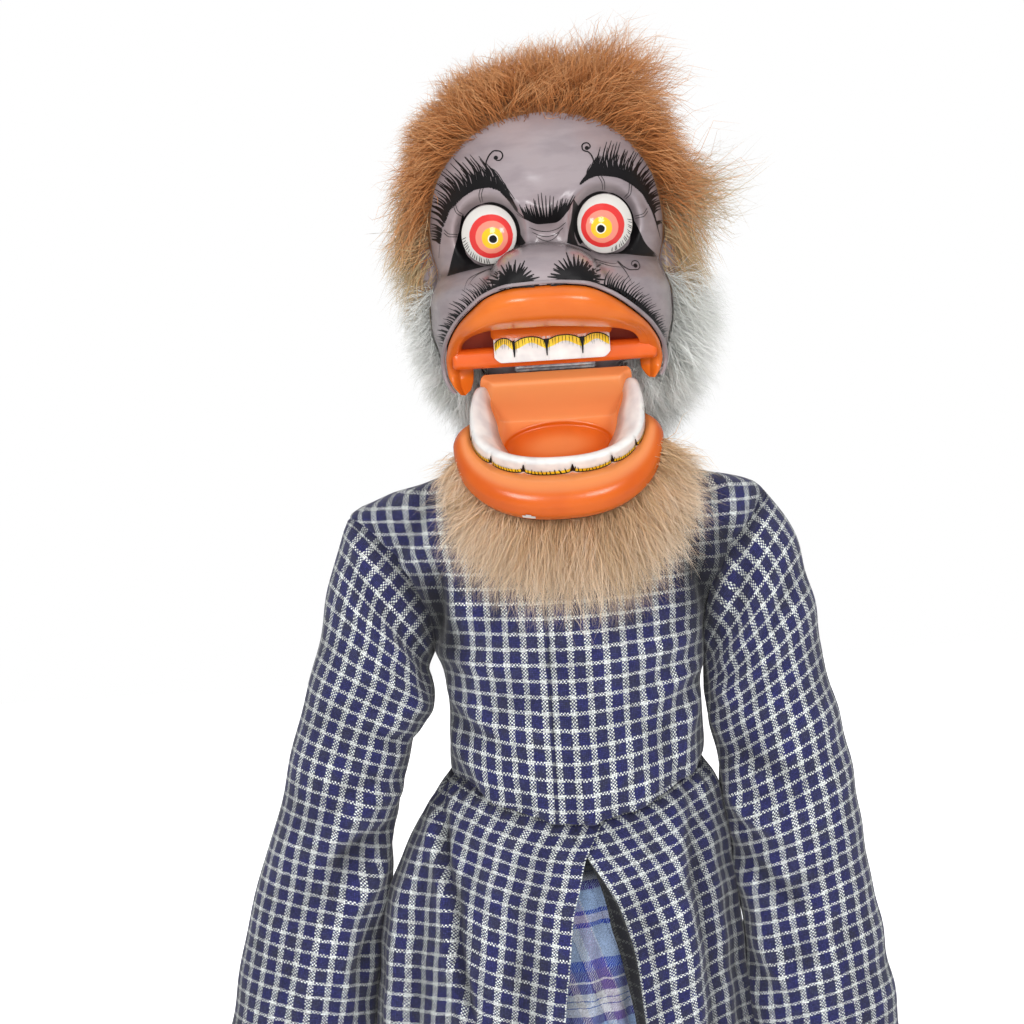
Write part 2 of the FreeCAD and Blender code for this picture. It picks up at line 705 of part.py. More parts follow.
lip_slant = slab((
    (-FAR, palate + 4.5),
    (-muzzle_reach - 2, palate + 4.5),
    (-setback - 14, palate - 22),
    (-neck - 1.5, palate - 22),
    (-neck - 1.5, seat - 2),
    (-FAR, seat - 2),
), FAR)
lever_room = block(-sized["lever_width"] / 2 - 1, sized["lever_width"] / 2 + 1,
                   -setback, -sized["rod_tenon_radius"] - 1.8, sized["hinge_height"] - 14, palate)
string_way = Part.makeCylinder(1.8, palate - seat - 10, Vector(0, -sized["rod_tenon_radius"] - 5.2, seat - 1))
tenon_bore = Part.makeCylinder(sized["rod_tenon_radius"] + sized["fit_gap"],
                               sized["rod_tenon_length"] + 0.3, Vector(0, 0, seat))
eye_holes = []
for side in (-1, 1):
    hole = Part.makeCylinder(sized["eye_radius"] + sized["fit_gap"], 40.0)
    hole.Placement = eye_seat(side)
    eye_holes.append(hole)
head_solid = head_solid.cut([chamber, throat, bar_pocket, lip_slant, lever_room, string_way, tenon_bore] + eye_holes)
head = carved("head", head_solid)

# Eyes
# Domed discs let into the face, painted in rings.

eyes = {}
for side, hand in ((-1, "left"), (1, "right")):
    eye = turned(hand + "_eye", (
        ("0", "0"),
        ("eye_radius", "0"),
        ("eye_radius", f"{EYE_LET_IN} + 1"),
        ("eye_radius * 0.82", f"{EYE_LET_IN} + 1 + eye_dome * 0.45"),
        ("eye_radius * 0.5", f"{EYE_LET_IN} + 1 + eye_dome * 0.83"),
        ("0", f"{EYE_LET_IN} + 1 + eye_dome"),
    ))
    eye.Placement = eye_seat(side)
    eye.setExpression("Placement.Base.x", bound(f"{side} * eye_spacing / 2"))
    eye.setExpression("Placement.Base.y", bound("-eye_floor_reach"))
    eye.setExpression("Placement.Base.z", bound("eye_height"))
    eyes[hand] = eye

# Hair, nape fur and beard
# Goat and calf pelts, skin and fur together, tacked round the skull, the nape and the jaw.

gap = sized["cloth_gap"]
fluff = sized["hair_thickness"]
hair_outer = draped((
    (ear_middle - 12, wide + fluff * 0.7, deep + fluff * 0.8, 2.0),
    (ear_middle + 4, wide + fluff, deep + fluff, 2.0),
    (crown - 48, wide + fluff * 0.95, deep + fluff, 1.0),
    (crown - 22, wide + fluff * 0.62, deep + fluff * 0.62, 1.0),
    (crown, wide - 4, deep - 3, 1.0),
    (sized["hair_top"] - 8, wide - 19, deep - 17, 0.0),
    (sized["hair_top"], wide - 37, deep - 34, 0.0),
), step=14.0)
face_window = slab((
    (-FAR, crown - 16),
    (-deep + 8, crown - 16),
    (-deep + 22, crown - 34),
    (10.0, ear_middle + ear_tall / 2 + 3),
    (10.0, seat),
    (-FAR, seat),
), FAR)
hair_solid = hair_outer.cut([stack(skull_rows(), grow=gap), ear(-1, gap), ear(1, gap), face_window])
hair_solid = max(hair_solid.Solids, key=lambda piece: piece.Volume)
hair_pelt = carved("hair_pelt", hair_solid)

nape = draped((
    (sized["nape_foot"], wide + 12, deep + 6, 4.0),
    (sized["nape_foot"] + 30, wide + 20, deep + 12, 3.0),
    (ear_middle - 12.3, wide + 16, deep + 13, 2.0),
))
nape_room = draped((
    (sized["nape_foot"] - 2, neck + 20, neck + 20, 4.0),
    (seat + 32, neck + 22, neck + 18, 5.0),
    (palate - 17, wide - 8, deep - 12, 4.0),
))
nape_solid = nape.cut([nape_room, stack(skull_rows(), grow=gap), ear(-1, gap), ear(1, gap),
                       block(-FAR, FAR, -FAR, -4.0, seat, crown),
                       block(-muzzle_wide - 1, muzzle_wide + 1, -FAR, 16.0, seat, crown)])
nape_solid = max(nape_solid.Solids, key=lambda piece: piece.Volume)
nape_pelt = carved("nape_pelt", nape_solid)

beard_wide = sized["beard_half_width"]
beard_low = sized["beard_foot"]
jaw_bottom = sized["hinge_height"] - 66.0
beard_profile = slab((
    (-setback - 3.5, jaw_bottom + 21),
    (-setback - 20, jaw_bottom + 21),
    (-setback - 19, jaw_bottom - 1),
    (-setback - 27, beard_low + 14),
    (-setback - 26, beard_low - 5),
    (-setback - 19, beard_low - 5),
    (-setback - 15, beard_low + 20),
    (-setback - 7, jaw_bottom + 1),
    (-setback - 3.5, jaw_bottom + 8),
), FAR)
beard_fan = leaf((
    (0, jaw_bottom + 24),
    (-0.72 * beard_wide, jaw_bottom + 20),
    (-beard_wide, jaw_bottom - 1),
    (-0.9 * beard_wide, beard_low + 18),
    (-0.5 * beard_wide, beard_low + 2),
    (0, beard_low),
    (0.5 * beard_wide, beard_low + 2),
    (0.9 * beard_wide, beard_low + 18),
    (beard_wide, jaw_bottom - 1),
    (0.72 * beard_wide, jaw_bottom + 20),
), FAR)
jaw_room = stack(jaw_rows, grow=gap, squareness=JAW_SQUARENESS)
jaw_room_side = tuple((y - gap if y < -20 else y + gap, z - gap if z < -2 else z + gap) for y, z in jaw_side)
jaw_room = jaw_room.common(slab(jaw_room_side, FAR))
jaw_room.Placement = hinge_place
beard_solid = beard_profile.common(beard_fan).cut(jaw_room)
beard_solid = max(beard_solid.Solids, key=lambda piece: piece.Volume)
beard_pelt = carved("beard_pelt", beard_solid)

# Chest
# A carved block, broad at the shoulders and narrow at the waist, bored for the rod; a cross
# bore takes the knotted cord loops that carry the arms.

chest_wide = sized["chest_half_width"]
chest_deep = sized["chest_half_depth"]
waist_wide = sized["waist_half_width"]
waist_deep = sized["waist_half_depth"]
chest_low = sized["chest_foot"]
shoulder = sized["shoulder_height"]
chest_top_rows = (
    (shoulder - 24, chest_wide - 2, chest_deep),
    (shoulder, chest_wide, chest_deep - 4),
    (shoulder + 13, chest_wide - 9, chest_deep - 9),
    (shoulder + 21, chest_wide - 27, chest_deep - 12),
    (seat - 0.3, neck + 1, chest_deep - 13),
)
chest_rows = (
    (chest_low, waist_wide + 1, waist_deep + 1),
    (chest_low + 24, waist_wide, waist_deep),
    (chest_low + 54, waist_wide + 6, waist_deep + 3),
    (chest_low + 82, chest_wide - 8, chest_deep + 0.5),
) + chest_top_rows
loop_radius = sized["loop_radius"]
running = sized["running_gap"]
KNOT_RADIUS = 5.0
KNOT_LENGTH = 8.0
KNOT_INSET = 16.0
arm_out = sized["shoulder_span"] / 2


def along_x(radius, start, length, height=shoulder):
    return Part.makeCylinder(radius, length, Vector(start, 0, height), Vector(1, 0, 0))


knot_out = chest_wide - KNOT_INSET
shoulder_bores = [along_x(loop_radius + running, -FAR, FAR - knot_out), along_x(loop_radius + running, knot_out, FAR)]
for side in (-1, 1):
    low = min(side * knot_out, side * (knot_out - KNOT_LENGTH - 2 * running))
    shoulder_bores.append(along_x(KNOT_RADIUS + running, low, KNOT_LENGTH + 2 * running))
rod_bore = Part.makeCylinder(sized["rod_radius"] + running, FAR * 2, Vector(0, 0, chest_low - 5))
chest_block = carved("chest_block", stack(chest_rows).cut([rod_bore] + shoulder_bores))

# Robe
# A woven jacket over the chest, bloused over a yarn tie at the waist, and its flared skirt,
# open at the front over a plaid sarong that leaves room for the holder's hand.

cloth = sized["cloth_thickness"]
blouse_wide = sized["blouse_half_width"]
blouse_deep = sized["blouse_half_depth"]
waist = sized["waist_height"]
tie_high = sized["tie_height"]
ARM_HOLE = 15.0


def robe_rows(extra):
    """The jacket's inside grown by an extra: bloused below, lying on the chest above."""
    below = (
        (waist + tie_high / 2 + 0.2, waist_wide + 9 + extra, waist_deep + 6 + extra),
        (waist + 12, blouse_wide - 5 + extra, blouse_deep - 4 + extra),
        (waist + 38, blouse_wide - 2.5 + extra, blouse_deep - 2 + extra),
        (waist + 66, blouse_wide - 3 + extra, blouse_deep - 5 + extra),
    )
    above = [(z, w + gap + extra, d + gap + extra) for z, w, d in chest_top_rows]
    return below + tuple(above)


robe_outside = draped(robe_rows(cloth))
robe_inside = draped(robe_rows(0.0))
chest_room = stack(chest_rows, grow=gap)
robe_solid = robe_outside.cut([robe_inside, chest_room, along_x(ARM_HOLE, -FAR, 2 * FAR, shoulder - 2)])
robe_body = carved("robe_body", max(robe_solid.Solids, key=lambda piece: piece.Volume))

tie_rows = [(height, waist_wide + 9 + 2 * cloth, waist_deep + 6 + 2 * cloth)
            for height in (waist - tie_high / 2, waist + tie_high / 2)]
tie_hole = [(height, waist_wide + 9, waist_deep + 6)
            for height in (waist - tie_high / 2 - 1, waist + tie_high / 2 + 1)]
waist_tie = carved("waist_tie", draped(tie_rows).cut(draped(tie_hole)))

hang = -sized["hang_to_left"]
hem = sized["skirt_hem"]
skirt_wide = sized["skirt_half_width"]
skirt_deep = sized["skirt_half_depth"]
skirt_top = waist - tie_high / 2 - 0.2
skirt_drop = skirt_top - hem


def skirt_rows(extra, low=0.0):
    return (
        (skirt_top, waist_wide + 9 + cloth + extra, waist_deep + 6 + cloth + extra),
        (skirt_top - 0.22 * skirt_drop, 0.68 * skirt_wide + extra, 0.74 * skirt_deep + extra, 0, 0.32 * hang),
        (skirt_top - 0.48 * skirt_drop, 0.88 * skirt_wide + extra, 0.88 * skirt_deep + extra, 0, 0.84 * hang),
        (hem - low, skirt_wide + extra, skirt_deep + extra, 0, hang),
    )


sarong_wide = sized["sarong_half_width"]
sarong_deep = sized["sarong_half_depth"]
sarong_low = sized["sarong_hem"]
sarong_drop = skirt_top - sarong_low


def sarong_rows(extra):
    return (
        (skirt_top - gap, waist_wide + 9 - gap + extra, waist_deep + 6 - gap + extra),
        (skirt_top - 0.2 * sarong_drop, 0.8 * sarong_wide + extra, 0.86 * sarong_deep + extra, 0, 0.15 * hang),
        (sarong_low, sarong_wide + extra, sarong_deep + extra, 0, 0.6 * hang),
    )


half_opening = math.tan(math.radians(sized["skirt_opening_turn"])) * skirt_drop / 2
front_gap = Part.Face(Part.makePolygon([
    Vector(3.0, 0, skirt_top - 30), Vector(half_opening + 8, 0, hem - 2), Vector(-half_opening + 2, 0, hem - 2),
    Vector(3.0, 0, skirt_top - 30)])).extrude(Vector(0, -FAR, 0))
skirt_solid = draped(skirt_rows(0)).cut([draped(skirt_rows(-cloth)), front_gap])
robe_skirt = carved("robe_skirt", max(skirt_solid.Solids, key=lambda piece: piece.Volume))
sarong_solid = draped(sarong_rows(0)).cut(draped(sarong_rows(-cloth)))
sarong = carved("sarong", max(sarong_solid.Solids, key=lambda piece: piece.Volume))

# Arms
# Two turned and carved pieces a side: an upper arm on a knotted cord loop, and a forearm with
# its hand, pegged at the elbow. A thin rod is pegged to each hand.

upper_long = sized["upper_arm_length"]
hem_drop = sized["sleeve_hem_drop"]
sleeve_wide = sized["sleeve_half_width"]
sleeve_deep = sized["sleeve_half_depth"]
EYE_PLATE = 5.0
PIN_RADIUS = 1.2
REACH = 100.0
HAND_AT = "forearm_length + 0.42 * hand_length"


def arm_frame(side, down=0.0):
    """A frame on the arm's line, with -Z down the arm, at a distance below the shoulder."""
    splay = sized["left_splay"] if side < 0 else sized["right_splay"]
    lean = FreeCAD.Rotation(Vector(0, 1, 0), -side * splay)
    start = Vector(side * arm_out, 0, shoulder)
    return FreeCAD.Placement(start + lean.multVec(Vector(0, 0, -down)), lean)


def arm_x(side, hand, down):
    return f"{side} * (shoulder_span / 2 + ({down}) * sin({hand}_splay))"


def arm_z(hand, down):
    return f"shoulder_height - ({down}) * cos({hand}_splay)"


def hung(thing, side, hand, down="0"):
    """Sets a piece drawn about its own pivot on the arm's line."""
    thing.Placement.Rotation = FreeCAD.Rotation(Vector(0, 1, 0), 1)
    thing.setExpression("Placement.Rotation.Angle", bound(f"{-side} * {hand}_splay"))
    thing.setExpression("Placement.Base.x", bound(arm_x(side, hand, down)))
    thing.setExpression("Placement.Base.z", bound(arm_z(hand, down)))
    return thing


def upper_arm(name):
    """A turned limb, slotted at the top for the cord loop and forked below for the elbow."""
    limb = turned(name + "_limb", (
        ("0", "upper_arm_radius - 1"),
        ("0.55 * upper_arm_radius", "0.8 * upper_arm_radius"),
        ("0.9 * upper_arm_radius", "0.45 * upper_arm_radius"),
        ("upper_arm_radius", "-0.2 * upper_arm_radius"),
        ("upper_arm_radius - 2", "-0.35 * upper_arm_length"),
        ("upper_arm_radius - 2.4", "-0.62 * upper_arm_length"),
        ("upper_arm_radius", "-upper_arm_length + 1.2 * upper_arm_radius"),
        ("upper_arm_radius", "-upper_arm_length - 2 * upper_arm_radius"),
        ("0", "-upper_arm_length - 2 * upper_arm_radius"),
    ))
    elbow_round = solid("Cylinder", name + "_elbow_round", axis=(0, 1, 0), angle="90",
                        Radius="upper_arm_radius", Height=f"{REACH}", x=f"-{REACH} / 2",
                        z="-upper_arm_length")
    above = solid("Box", name + "_above", Length=f"{REACH}", Width=f"{REACH}",
                  Height="upper_arm_length + 2 * upper_arm_radius",
                  x=f"-{REACH} / 2", y=f"-{REACH} / 2", z="-upper_arm_length")
    loop_slot = solid("Box", name + "_loop_slot", Length=f"{REACH}", Width=f"{EYE_PLATE} + 2 * running_gap",
                      Height=f"{REACH}", x=f"-{REACH} / 2", y=f"-{EYE_PLATE} / 2 - running_gap", z="-8.5")
    tongue_slot = solid("Box", name + "_tongue_slot", Length="tongue_thickness + 2 * running_gap",
                        Width=f"{REACH}", Height=f"{REACH}", x="-tongue_thickness / 2 - running_gap",
                        y=f"-{REACH} / 2", z=f"-upper_arm_length + upper_arm_radius + 0.5 - {REACH}")
    top_peg = solid("Cylinder", name + "_top_bore", axis=(1, 0, 0), angle="90", Radius="peg_radius",
                    Height=f"{REACH}", y=f"{REACH} / 2")
    low_peg = solid("Cylinder", name + "_low_bore", axis=(0, 1, 0), angle="90", Radius="peg_radius",
                    Height=f"{REACH}", x=f"-{REACH} / 2", z="-upper_arm_length")
    blank = shared(name + "_blank", limb, joined(name + "_ends", elbow_round, above))
    return less(name, blank, loop_slot, tongue_slot, top_peg, low_peg)


def hand_form(name):
    """A carved hand, palm inwards: wrist, palm, closed fingers with cuts between them, thumb."""
    long = sized["forearm_length"]
    knuckles = long + 0.55 * sized["hand_length"]
    tips = long + sized["hand_length"]
    hand_wide = sized["hand_width"]
    palm = sized["palm_thickness"]
    wrist = sized["wrist_radius"]
    shape = stack((
        (-long + 4, wrist - 0.4, wrist - 0.4),
        (-long - 0.28 * sized["hand_length"], 0.5 * palm, 0.46 * hand_wide),
        (-knuckles, 0.5 * palm, 0.5 * hand_wide),
        (-0.5 * (knuckles + tips), 0.42 * palm, 0.46 * hand_wide),
        (-tips, 0.24 * palm, 0.3 * hand_wide),
    ))
    thumb = Part.makeCone(2.4, 3.4, 17, Vector(0, -0.66 * hand_wide, -knuckles + 2), Vector(0, 0.38, 1))
    fingers = [Part.makeBox(palm, 0.8, REACH, Vector(0.2 * palm, at * hand_wide - 0.4, -knuckles - REACH))
               for at in (-0.24, 0.0, 0.24)]
    return carved(name, shape.fuse(thumb).cut(fingers))


def forearm(name):
    """The elbow tongue, the turned forearm with its shoulder below the fork, and the hand."""
    limb = turned(name + "_limb", (
        ("0", "-upper_arm_radius - 0.4"),
        ("forearm_radius - 1", "-upper_arm_radius - 0.4"),
        ("forearm_radius", "-upper_arm_radius - 3"),
        ("forearm_radius", "-0.4 * forearm_length"),
        ("0.8 * forearm_radius", "-0.72 * forearm_length"),
        ("wrist_radius", "-forearm_length + 6"),
        ("wrist_radius", "-forearm_length"),
        ("0", "-forearm_length"),
    ))
    tongue_disc = solid("Cylinder", name + "_tongue", axis=(0, 1, 0), angle="90",
                        Radius="upper_arm_radius - 0.8", Height="tongue_thickness",
                        x="-tongue_thickness / 2")
    tongue_neck = solid("Box", name + "_neck", Length="tongue_thickness", Width="12",
                        Height="upper_arm_radius + 6", x="-tongue_thickness / 2", y="-6",
                        z="-upper_arm_radius - 6")
    bore = solid("Cylinder", name + "_bore", axis=(0, 1, 0), angle="90", Radius="peg_radius + fit_gap",
                 Height=f"{REACH}", x=f"-{REACH} / 2")
    return less(name, joined(name + "_blank", limb, tongue_disc, tongue_neck, hand_form(name + "_hand")), bore)


def sleeve_rows(first, last, extra=0.0):
    """The sleeve's rows between two distances below the shoulder, narrow at the shoulder cap."""
    whole = (
        (15.0, 0.42, 0.5),
        (0.0, 0.7, 0.8),
        (-34.0, 0.88, 0.92),
        (-66.0, 0.83, 0.92),
        (-upper_long, 0.94, 0.97),
        (-0.5 * (upper_long + hem_drop), 1.0, 1.0),
        (-hem_drop, 1.03, 1.02),
    )
    return [(z, sleeve_wide * w + extra, sleeve_deep * d + extra)
            for z, w, d in whole if last - 0.01 <= z <= first + 0.01]


def sleeve_shape(first, last, top):
    """A cloth tube between two distances, its inside starting at a height of its own."""
    inside = sleeve_rows(first, last, -cloth)
    inside = [(top,) + tuple(inside[0][1:])] + inside[1:] + [(last - 1,) + tuple(inside[-1][1:])]
    return draped(sleeve_rows(first, last)).cut(draped(inside))


named = {}
robe_room = draped(robe_rows(cloth + gap))
for side, hand in ((-1, "left"), (1, "right")):
    pivot = side * arm_out
    knot_start = side * (knot_out - KNOT_LENGTH - running)
    shank = along_x(loop_radius, min(knot_start, pivot), abs(pivot - knot_start))
    knot = along_x(KNOT_RADIUS, min(knot_start, knot_start + side * KNOT_LENGTH), KNOT_LENGTH)
    eye_disc = Part.makeCylinder(6.0, EYE_PLATE, Vector(pivot, -EYE_PLATE / 2, shoulder), Vector(0, 1, 0))
    eye_hole = Part.makeCylinder(sized["peg_radius"] + sized["fit_gap"], REACH,
                                 Vector(pivot, -REACH / 2, shoulder), Vector(0, 1, 0))
    named[hand + "_shoulder_loop"] = carved(
        hand + "_shoulder_loop", shank.fuse([knot, eye_disc]).cut(eye_hole))
    named[hand + "_upper_arm"] = hung(upper_arm(hand + "_upper_arm"), side, hand)
    named[hand + "_shoulder_peg"] = solid(
        "Cylinder", hand + "_shoulder_peg", axis=(1, 0, 0), angle="90", Radius="peg_radius",
        Height="2 * upper_arm_radius - 2", x=f"{side} * shoulder_span / 2",
        y="upper_arm_radius - 1", z="shoulder_height")
    named[hand + "_elbow_peg"] = solid(
        "Cylinder", hand + "_elbow_peg", axis=(0, 1, 0), angle=f"90 + {-side} * {hand}_splay",
        Radius="peg_radius", Height="2 * upper_arm_radius - 2",
        x=arm_x(side, hand, "upper_arm_length") + f" - (upper_arm_radius - 1) * cos({hand}_splay)",
        z=arm_z(hand, "upper_arm_length") + f" + (upper_arm_radius - 1) * sin({-side} * {hand}_splay)")
    # The hand is bored level, in the puppet's frame, for the pin that holds its rod.
    hand_down = "upper_arm_length + " + HAND_AT
    rod_x = arm_x(side, hand, hand_down) + f" - {side} * (palm_thickness / 2 + arm_rod_eye_half + 1.5)"
    hand_bore = solid("Cylinder", hand + "_hand_bore", axis=(0, 1, 0), angle="90", Radius=f"{PIN_RADIUS}",
                      Height="40", x=arm_x(side, hand, hand_down) + " - 20", z=arm_z(hand, hand_down))
    blank = hung(forearm(hand + "_forearm_blank"), side, hand, "upper_arm_length")
    named[hand + "_forearm"] = less(hand + "_forearm", blank, hand_bore)
    pin_long = "palm_thickness + 2 * arm_rod_eye_half + 4.2"
    pin_start = arm_x(side, hand, hand_down) + f" + {side} * (palm_thickness / 2 + 1)"
    named[hand + "_hand_pin"] = solid(
        "Cylinder", hand + "_hand_pin", axis=(0, 1, 0), angle="90", Radius=f"{PIN_RADIUS}",
        Height=pin_long, x=pin_start + (f" - ({pin_long})" if side > 0 else ""),
        z=arm_z(hand, hand_down))
    rod_top = arm_z(hand, hand_down)
    stick = turned(hand + "_arm_rod_turning", (
        ("0", "arm_rod_foot"),
        ("0.7 * arm_rod_grip_radius", "arm_rod_foot"),
        ("arm_rod_grip_radius", "arm_rod_foot + 4"),
        ("arm_rod_grip_radius", "arm_rod_foot + 85"),
        ("arm_rod_radius", "arm_rod_foot + 120"),
        ("arm_rod_radius", rod_top),
        ("0", rod_top),
    ), x=rod_x)
    rod_eye = solid("Cylinder", hand + "_arm_rod_eye", axis=(0, 1, 0), angle="90",
                    Radius="1.7 * arm_rod_radius", Height="2 * arm_rod_eye_half",
                    x=rod_x + " - arm_rod_eye_half", z=rod_top)
    rod_bore = solid("Cylinder", hand + "_arm_rod_bore", axis=(0, 1, 0), angle="90",
                     Radius=f"{PIN_RADIUS} + fit_gap", Height="40", x=rod_x + " - 20", z=rod_top)
    named[hand + "_arm_rod"] = less(hand + "_arm_rod", joined(hand + "_arm_rod_blank", stick, rod_eye),
                                    rod_bore)
    upper_sleeve = sleeve_shape(15.0, -upper_long, 15.0 - cloth)
    upper_sleeve.Placement = arm_frame(side)
    arm_hole = along_x(ARM_HOLE - 3, min(0, pivot), arm_out)
    upper_sleeve = upper_sleeve.cut([robe_room, arm_hole])
    named[hand + "_upper_sleeve"] = carved(
        hand + "_upper_sleeve", max(upper_sleeve.Solids, key=lambda piece: piece.Volume))
    lower_sleeve = sleeve_shape(-upper_long, -hem_drop, -upper_long + 1)
    named[hand + "_lower_sleeve"] = carved(hand + "_lower_sleeve", lower_sleeve, arm_frame(side, 0.2))

# Nodes
# Each piece is written under its own name.

nodes = {
    "main_rod": main_rod,
    "head": head,
    "left_eye": eyes["left"],
    "right_eye": eyes["right"],
    "upper_gum_bar": upper_gum_bar,
    "hinge_upper_leaf": hinge_upper_leaf,
    "hinge_upper_screws": hinge_upper_screws,
    "hinge_pin": hinge_pin,
    "hair_pelt": hair_pelt,
    "nape_pelt": nape_pelt,
    "lower_jaw": lower_jaw,
    "hinge_lower_leaf": hinge_lower_leaf,
    "hinge_lower_screws": hinge_lower_screws,
    "jaw_lever": lever,
    "beard_pelt": beard_pelt,
    "chest_block": chest_block,
    "robe_body": robe_body,
    "waist_tie": waist_tie,
    "robe_skirt": robe_skirt,
    "sarong": sarong,
}
nodes.update(named)

document.recompute()
for item in document.Objects:
    if "Invalid" in item.State or "Error" in item.State:
        raise SystemExit(f"{item.Name}: {item.State}")
for name, item in nodes.items():
    item.Label = name
    shape = item.Shape
    if shape.isNull() or not shape.isValid():
        raise SystemExit(f"{name}: the shape isn't valid")

os.makedirs("parts", exist_ok=True)
for name, item in nodes.items():
    item.Shape.exportStep(f"parts/{name}.step")
    print(name, len(item.Shape.Solids), round(item.Shape.Volume, 1), "mm3")
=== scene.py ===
import bpy
import math
import numpy as np
from mathutils import Matrix, Vector


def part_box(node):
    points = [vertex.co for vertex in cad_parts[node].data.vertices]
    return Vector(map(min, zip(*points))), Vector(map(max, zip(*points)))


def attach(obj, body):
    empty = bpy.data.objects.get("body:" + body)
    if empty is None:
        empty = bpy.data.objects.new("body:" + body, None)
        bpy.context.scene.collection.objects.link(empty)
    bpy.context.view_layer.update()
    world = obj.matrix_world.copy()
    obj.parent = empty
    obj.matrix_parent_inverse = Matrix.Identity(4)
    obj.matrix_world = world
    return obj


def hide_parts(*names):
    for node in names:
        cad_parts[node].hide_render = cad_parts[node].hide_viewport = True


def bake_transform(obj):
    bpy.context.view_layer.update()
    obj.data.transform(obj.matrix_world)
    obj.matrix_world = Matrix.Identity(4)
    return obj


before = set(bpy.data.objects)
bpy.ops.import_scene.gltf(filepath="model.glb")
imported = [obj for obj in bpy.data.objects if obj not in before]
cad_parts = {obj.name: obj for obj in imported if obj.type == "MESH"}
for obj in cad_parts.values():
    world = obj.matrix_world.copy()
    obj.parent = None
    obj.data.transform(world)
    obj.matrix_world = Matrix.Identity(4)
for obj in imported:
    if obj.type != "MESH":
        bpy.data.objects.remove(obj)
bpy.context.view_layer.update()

# A carved wooden rod puppet: an ogre's head with a hinged jaw on a turned rod, a chest that turns
# on the rod, jointed arms with rods of their own, fur hair and beard, and a hand-woven robe.
# Metres. +Z up, the face looks along -Y, +X is to the viewer's right.
MM = 0.001

# Turned rods, chest and pegs
# Pale hardwood spun on a lathe, sanded and oiled, darker where hands have held it. The grain runs
# along each piece, and the pores show as short dark dashes.

WOOD_PALE = "#C49A66"
WOOD_DARK = "#8A5D33"
GRAIN_WIDTH_MM = 1.6
PORE_WIDTH_MM = 0.5


def linear(colour):
    """An sRGB hex value as linear red, green, blue and alpha."""
    parts = [int(colour[at:at + 2], 16) / 255 for at in (1, 3, 5)]
    return (tuple(part / 12.92 if part <= 0.04045 else ((part + 0.055) / 1.055) ** 2.4 for part in parts)
            + (1.0,))


def add(tree, kind, values=None, **settings):
    """Adds a node; settings are its properties, values its sockets: numbers, or sockets to link from."""
    new = tree.nodes.new(kind)
    for key, value in settings.items():
        setattr(new, key, value)
    for key, value in (values or {}).items():
        if isinstance(value, bpy.types.NodeSocket):
            tree.links.new(value, new.inputs[key])
        else:
            new.inputs[key].default_value = value
    return new


def blank_material(name):
    """A material with nothing but its Principled shader: the material, its nodes and the shader."""
    made = bpy.data.materials.new(name)
    made.use_nodes = True
    return made, made.node_tree, made.node_tree.nodes["Principled BSDF"]


def ramp(tree, fac, *stops):
    """A colour ramp over stops of position and colour."""
    made = add(tree, "ShaderNodeValToRGB", {"Fac": fac})
    band = made.color_ramp
    while len(band.elements) < len(stops):
        band.elements.new(0.5)
    for element, (at, colour) in zip(band.elements, stops):
        element.position = at
        element.color = linear(colour)
    return made.outputs["Color"]


def wood_material(name, pale, dark, along=(1, 1, 0.06)):
    """Oiled hardwood: streaks of grain stretched along the piece, fine pores and a soft sheen."""
    made, tree, shader = blank_material(name)
    spot = add(tree, "ShaderNodeTexCoord").outputs["Object"]
    stretched = add(tree, "ShaderNodeMapping", {"Vector": spot, "Scale": along}).outputs["Vector"]
    grain = add(tree, "ShaderNodeTexNoise", {"Vector": stretched, "Scale": 1 / (GRAIN_WIDTH_MM * MM) / 4,
                                             "Detail": 5.0, "Roughness": 0.6}).outputs["Fac"]
    pores = add(tree, "ShaderNodeTexNoise", {"Vector": stretched, "Scale": 1 / (PORE_WIDTH_MM * MM) / 2,
                                             "Detail": 1.0}).outputs["Fac"]
    handled = add(tree, "ShaderNodeTexNoise", {"Vector": spot, "Scale": 22.0, "Detail": 2.0}).outputs["Fac"]
    both = add(tree, "ShaderNodeMath", {0: grain, 1: handled}, operation="ADD").outputs[0]
    half = add(tree, "ShaderNodeMath", {0: both, 1: 0.5}, operation="MULTIPLY").outputs[0]
    colour = ramp(tree, half, (0.36, dark), (0.5, pale), (0.64, dark))
    tree.links.new(colour, shader.inputs["Base Color"])
    shader.inputs["Roughness"].default_value = 0.48
    bump = add(tree, "ShaderNodeBump", {"Height": pores, "Strength": 0.35, "Distance": 0.0003})
    tree.links.new(bump.outputs["Normal"], shader.inputs["Normal"])
    return made


def dress(node_names, material):
    """Gives CAD nodes that stay in view their finish."""
    for node_name in node_names:
        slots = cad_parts[node_name].material_slots
        for slot in slots:
            slot.material = material


hardwood = wood_material("oiled_hardwood", WOOD_PALE, WOOD_DARK)
dress(["main_rod", "chest_block", "left_upper_arm", "right_upper_arm", "left_arm_rod", "right_arm_rod",
       "left_shoulder_peg", "right_shoulder_peg", "left_elbow_peg", "right_elbow_peg",
       "left_hand_pin", "right_hand_pin"], hardwood)

# Head
# One block of wood carved as an ogre's face: a bulging forehead with a sharp brow, round lid
# folds, a broad low nose and full cheeks. Grey gloss enamel, brushed on, with a rosy blush.

ENAMEL_GREY = "#A09497"
ENAMEL_DEEP = "#94888C"
BLUSH = "#A8908E"
HEAD_ROWS = 256
HEAD_COLUMNS = 384
EYE_AT = {"left": (-25.8, 751.4), "right": (25.8, 753.0)}
CROWN_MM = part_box("head")[1][2] / MM
SEAT_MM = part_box("head")[0][2] / MM


def eased(share):
    """A share from 0 to 1 that starts and ends gently."""
    return share * share * (3 - 2 * share)


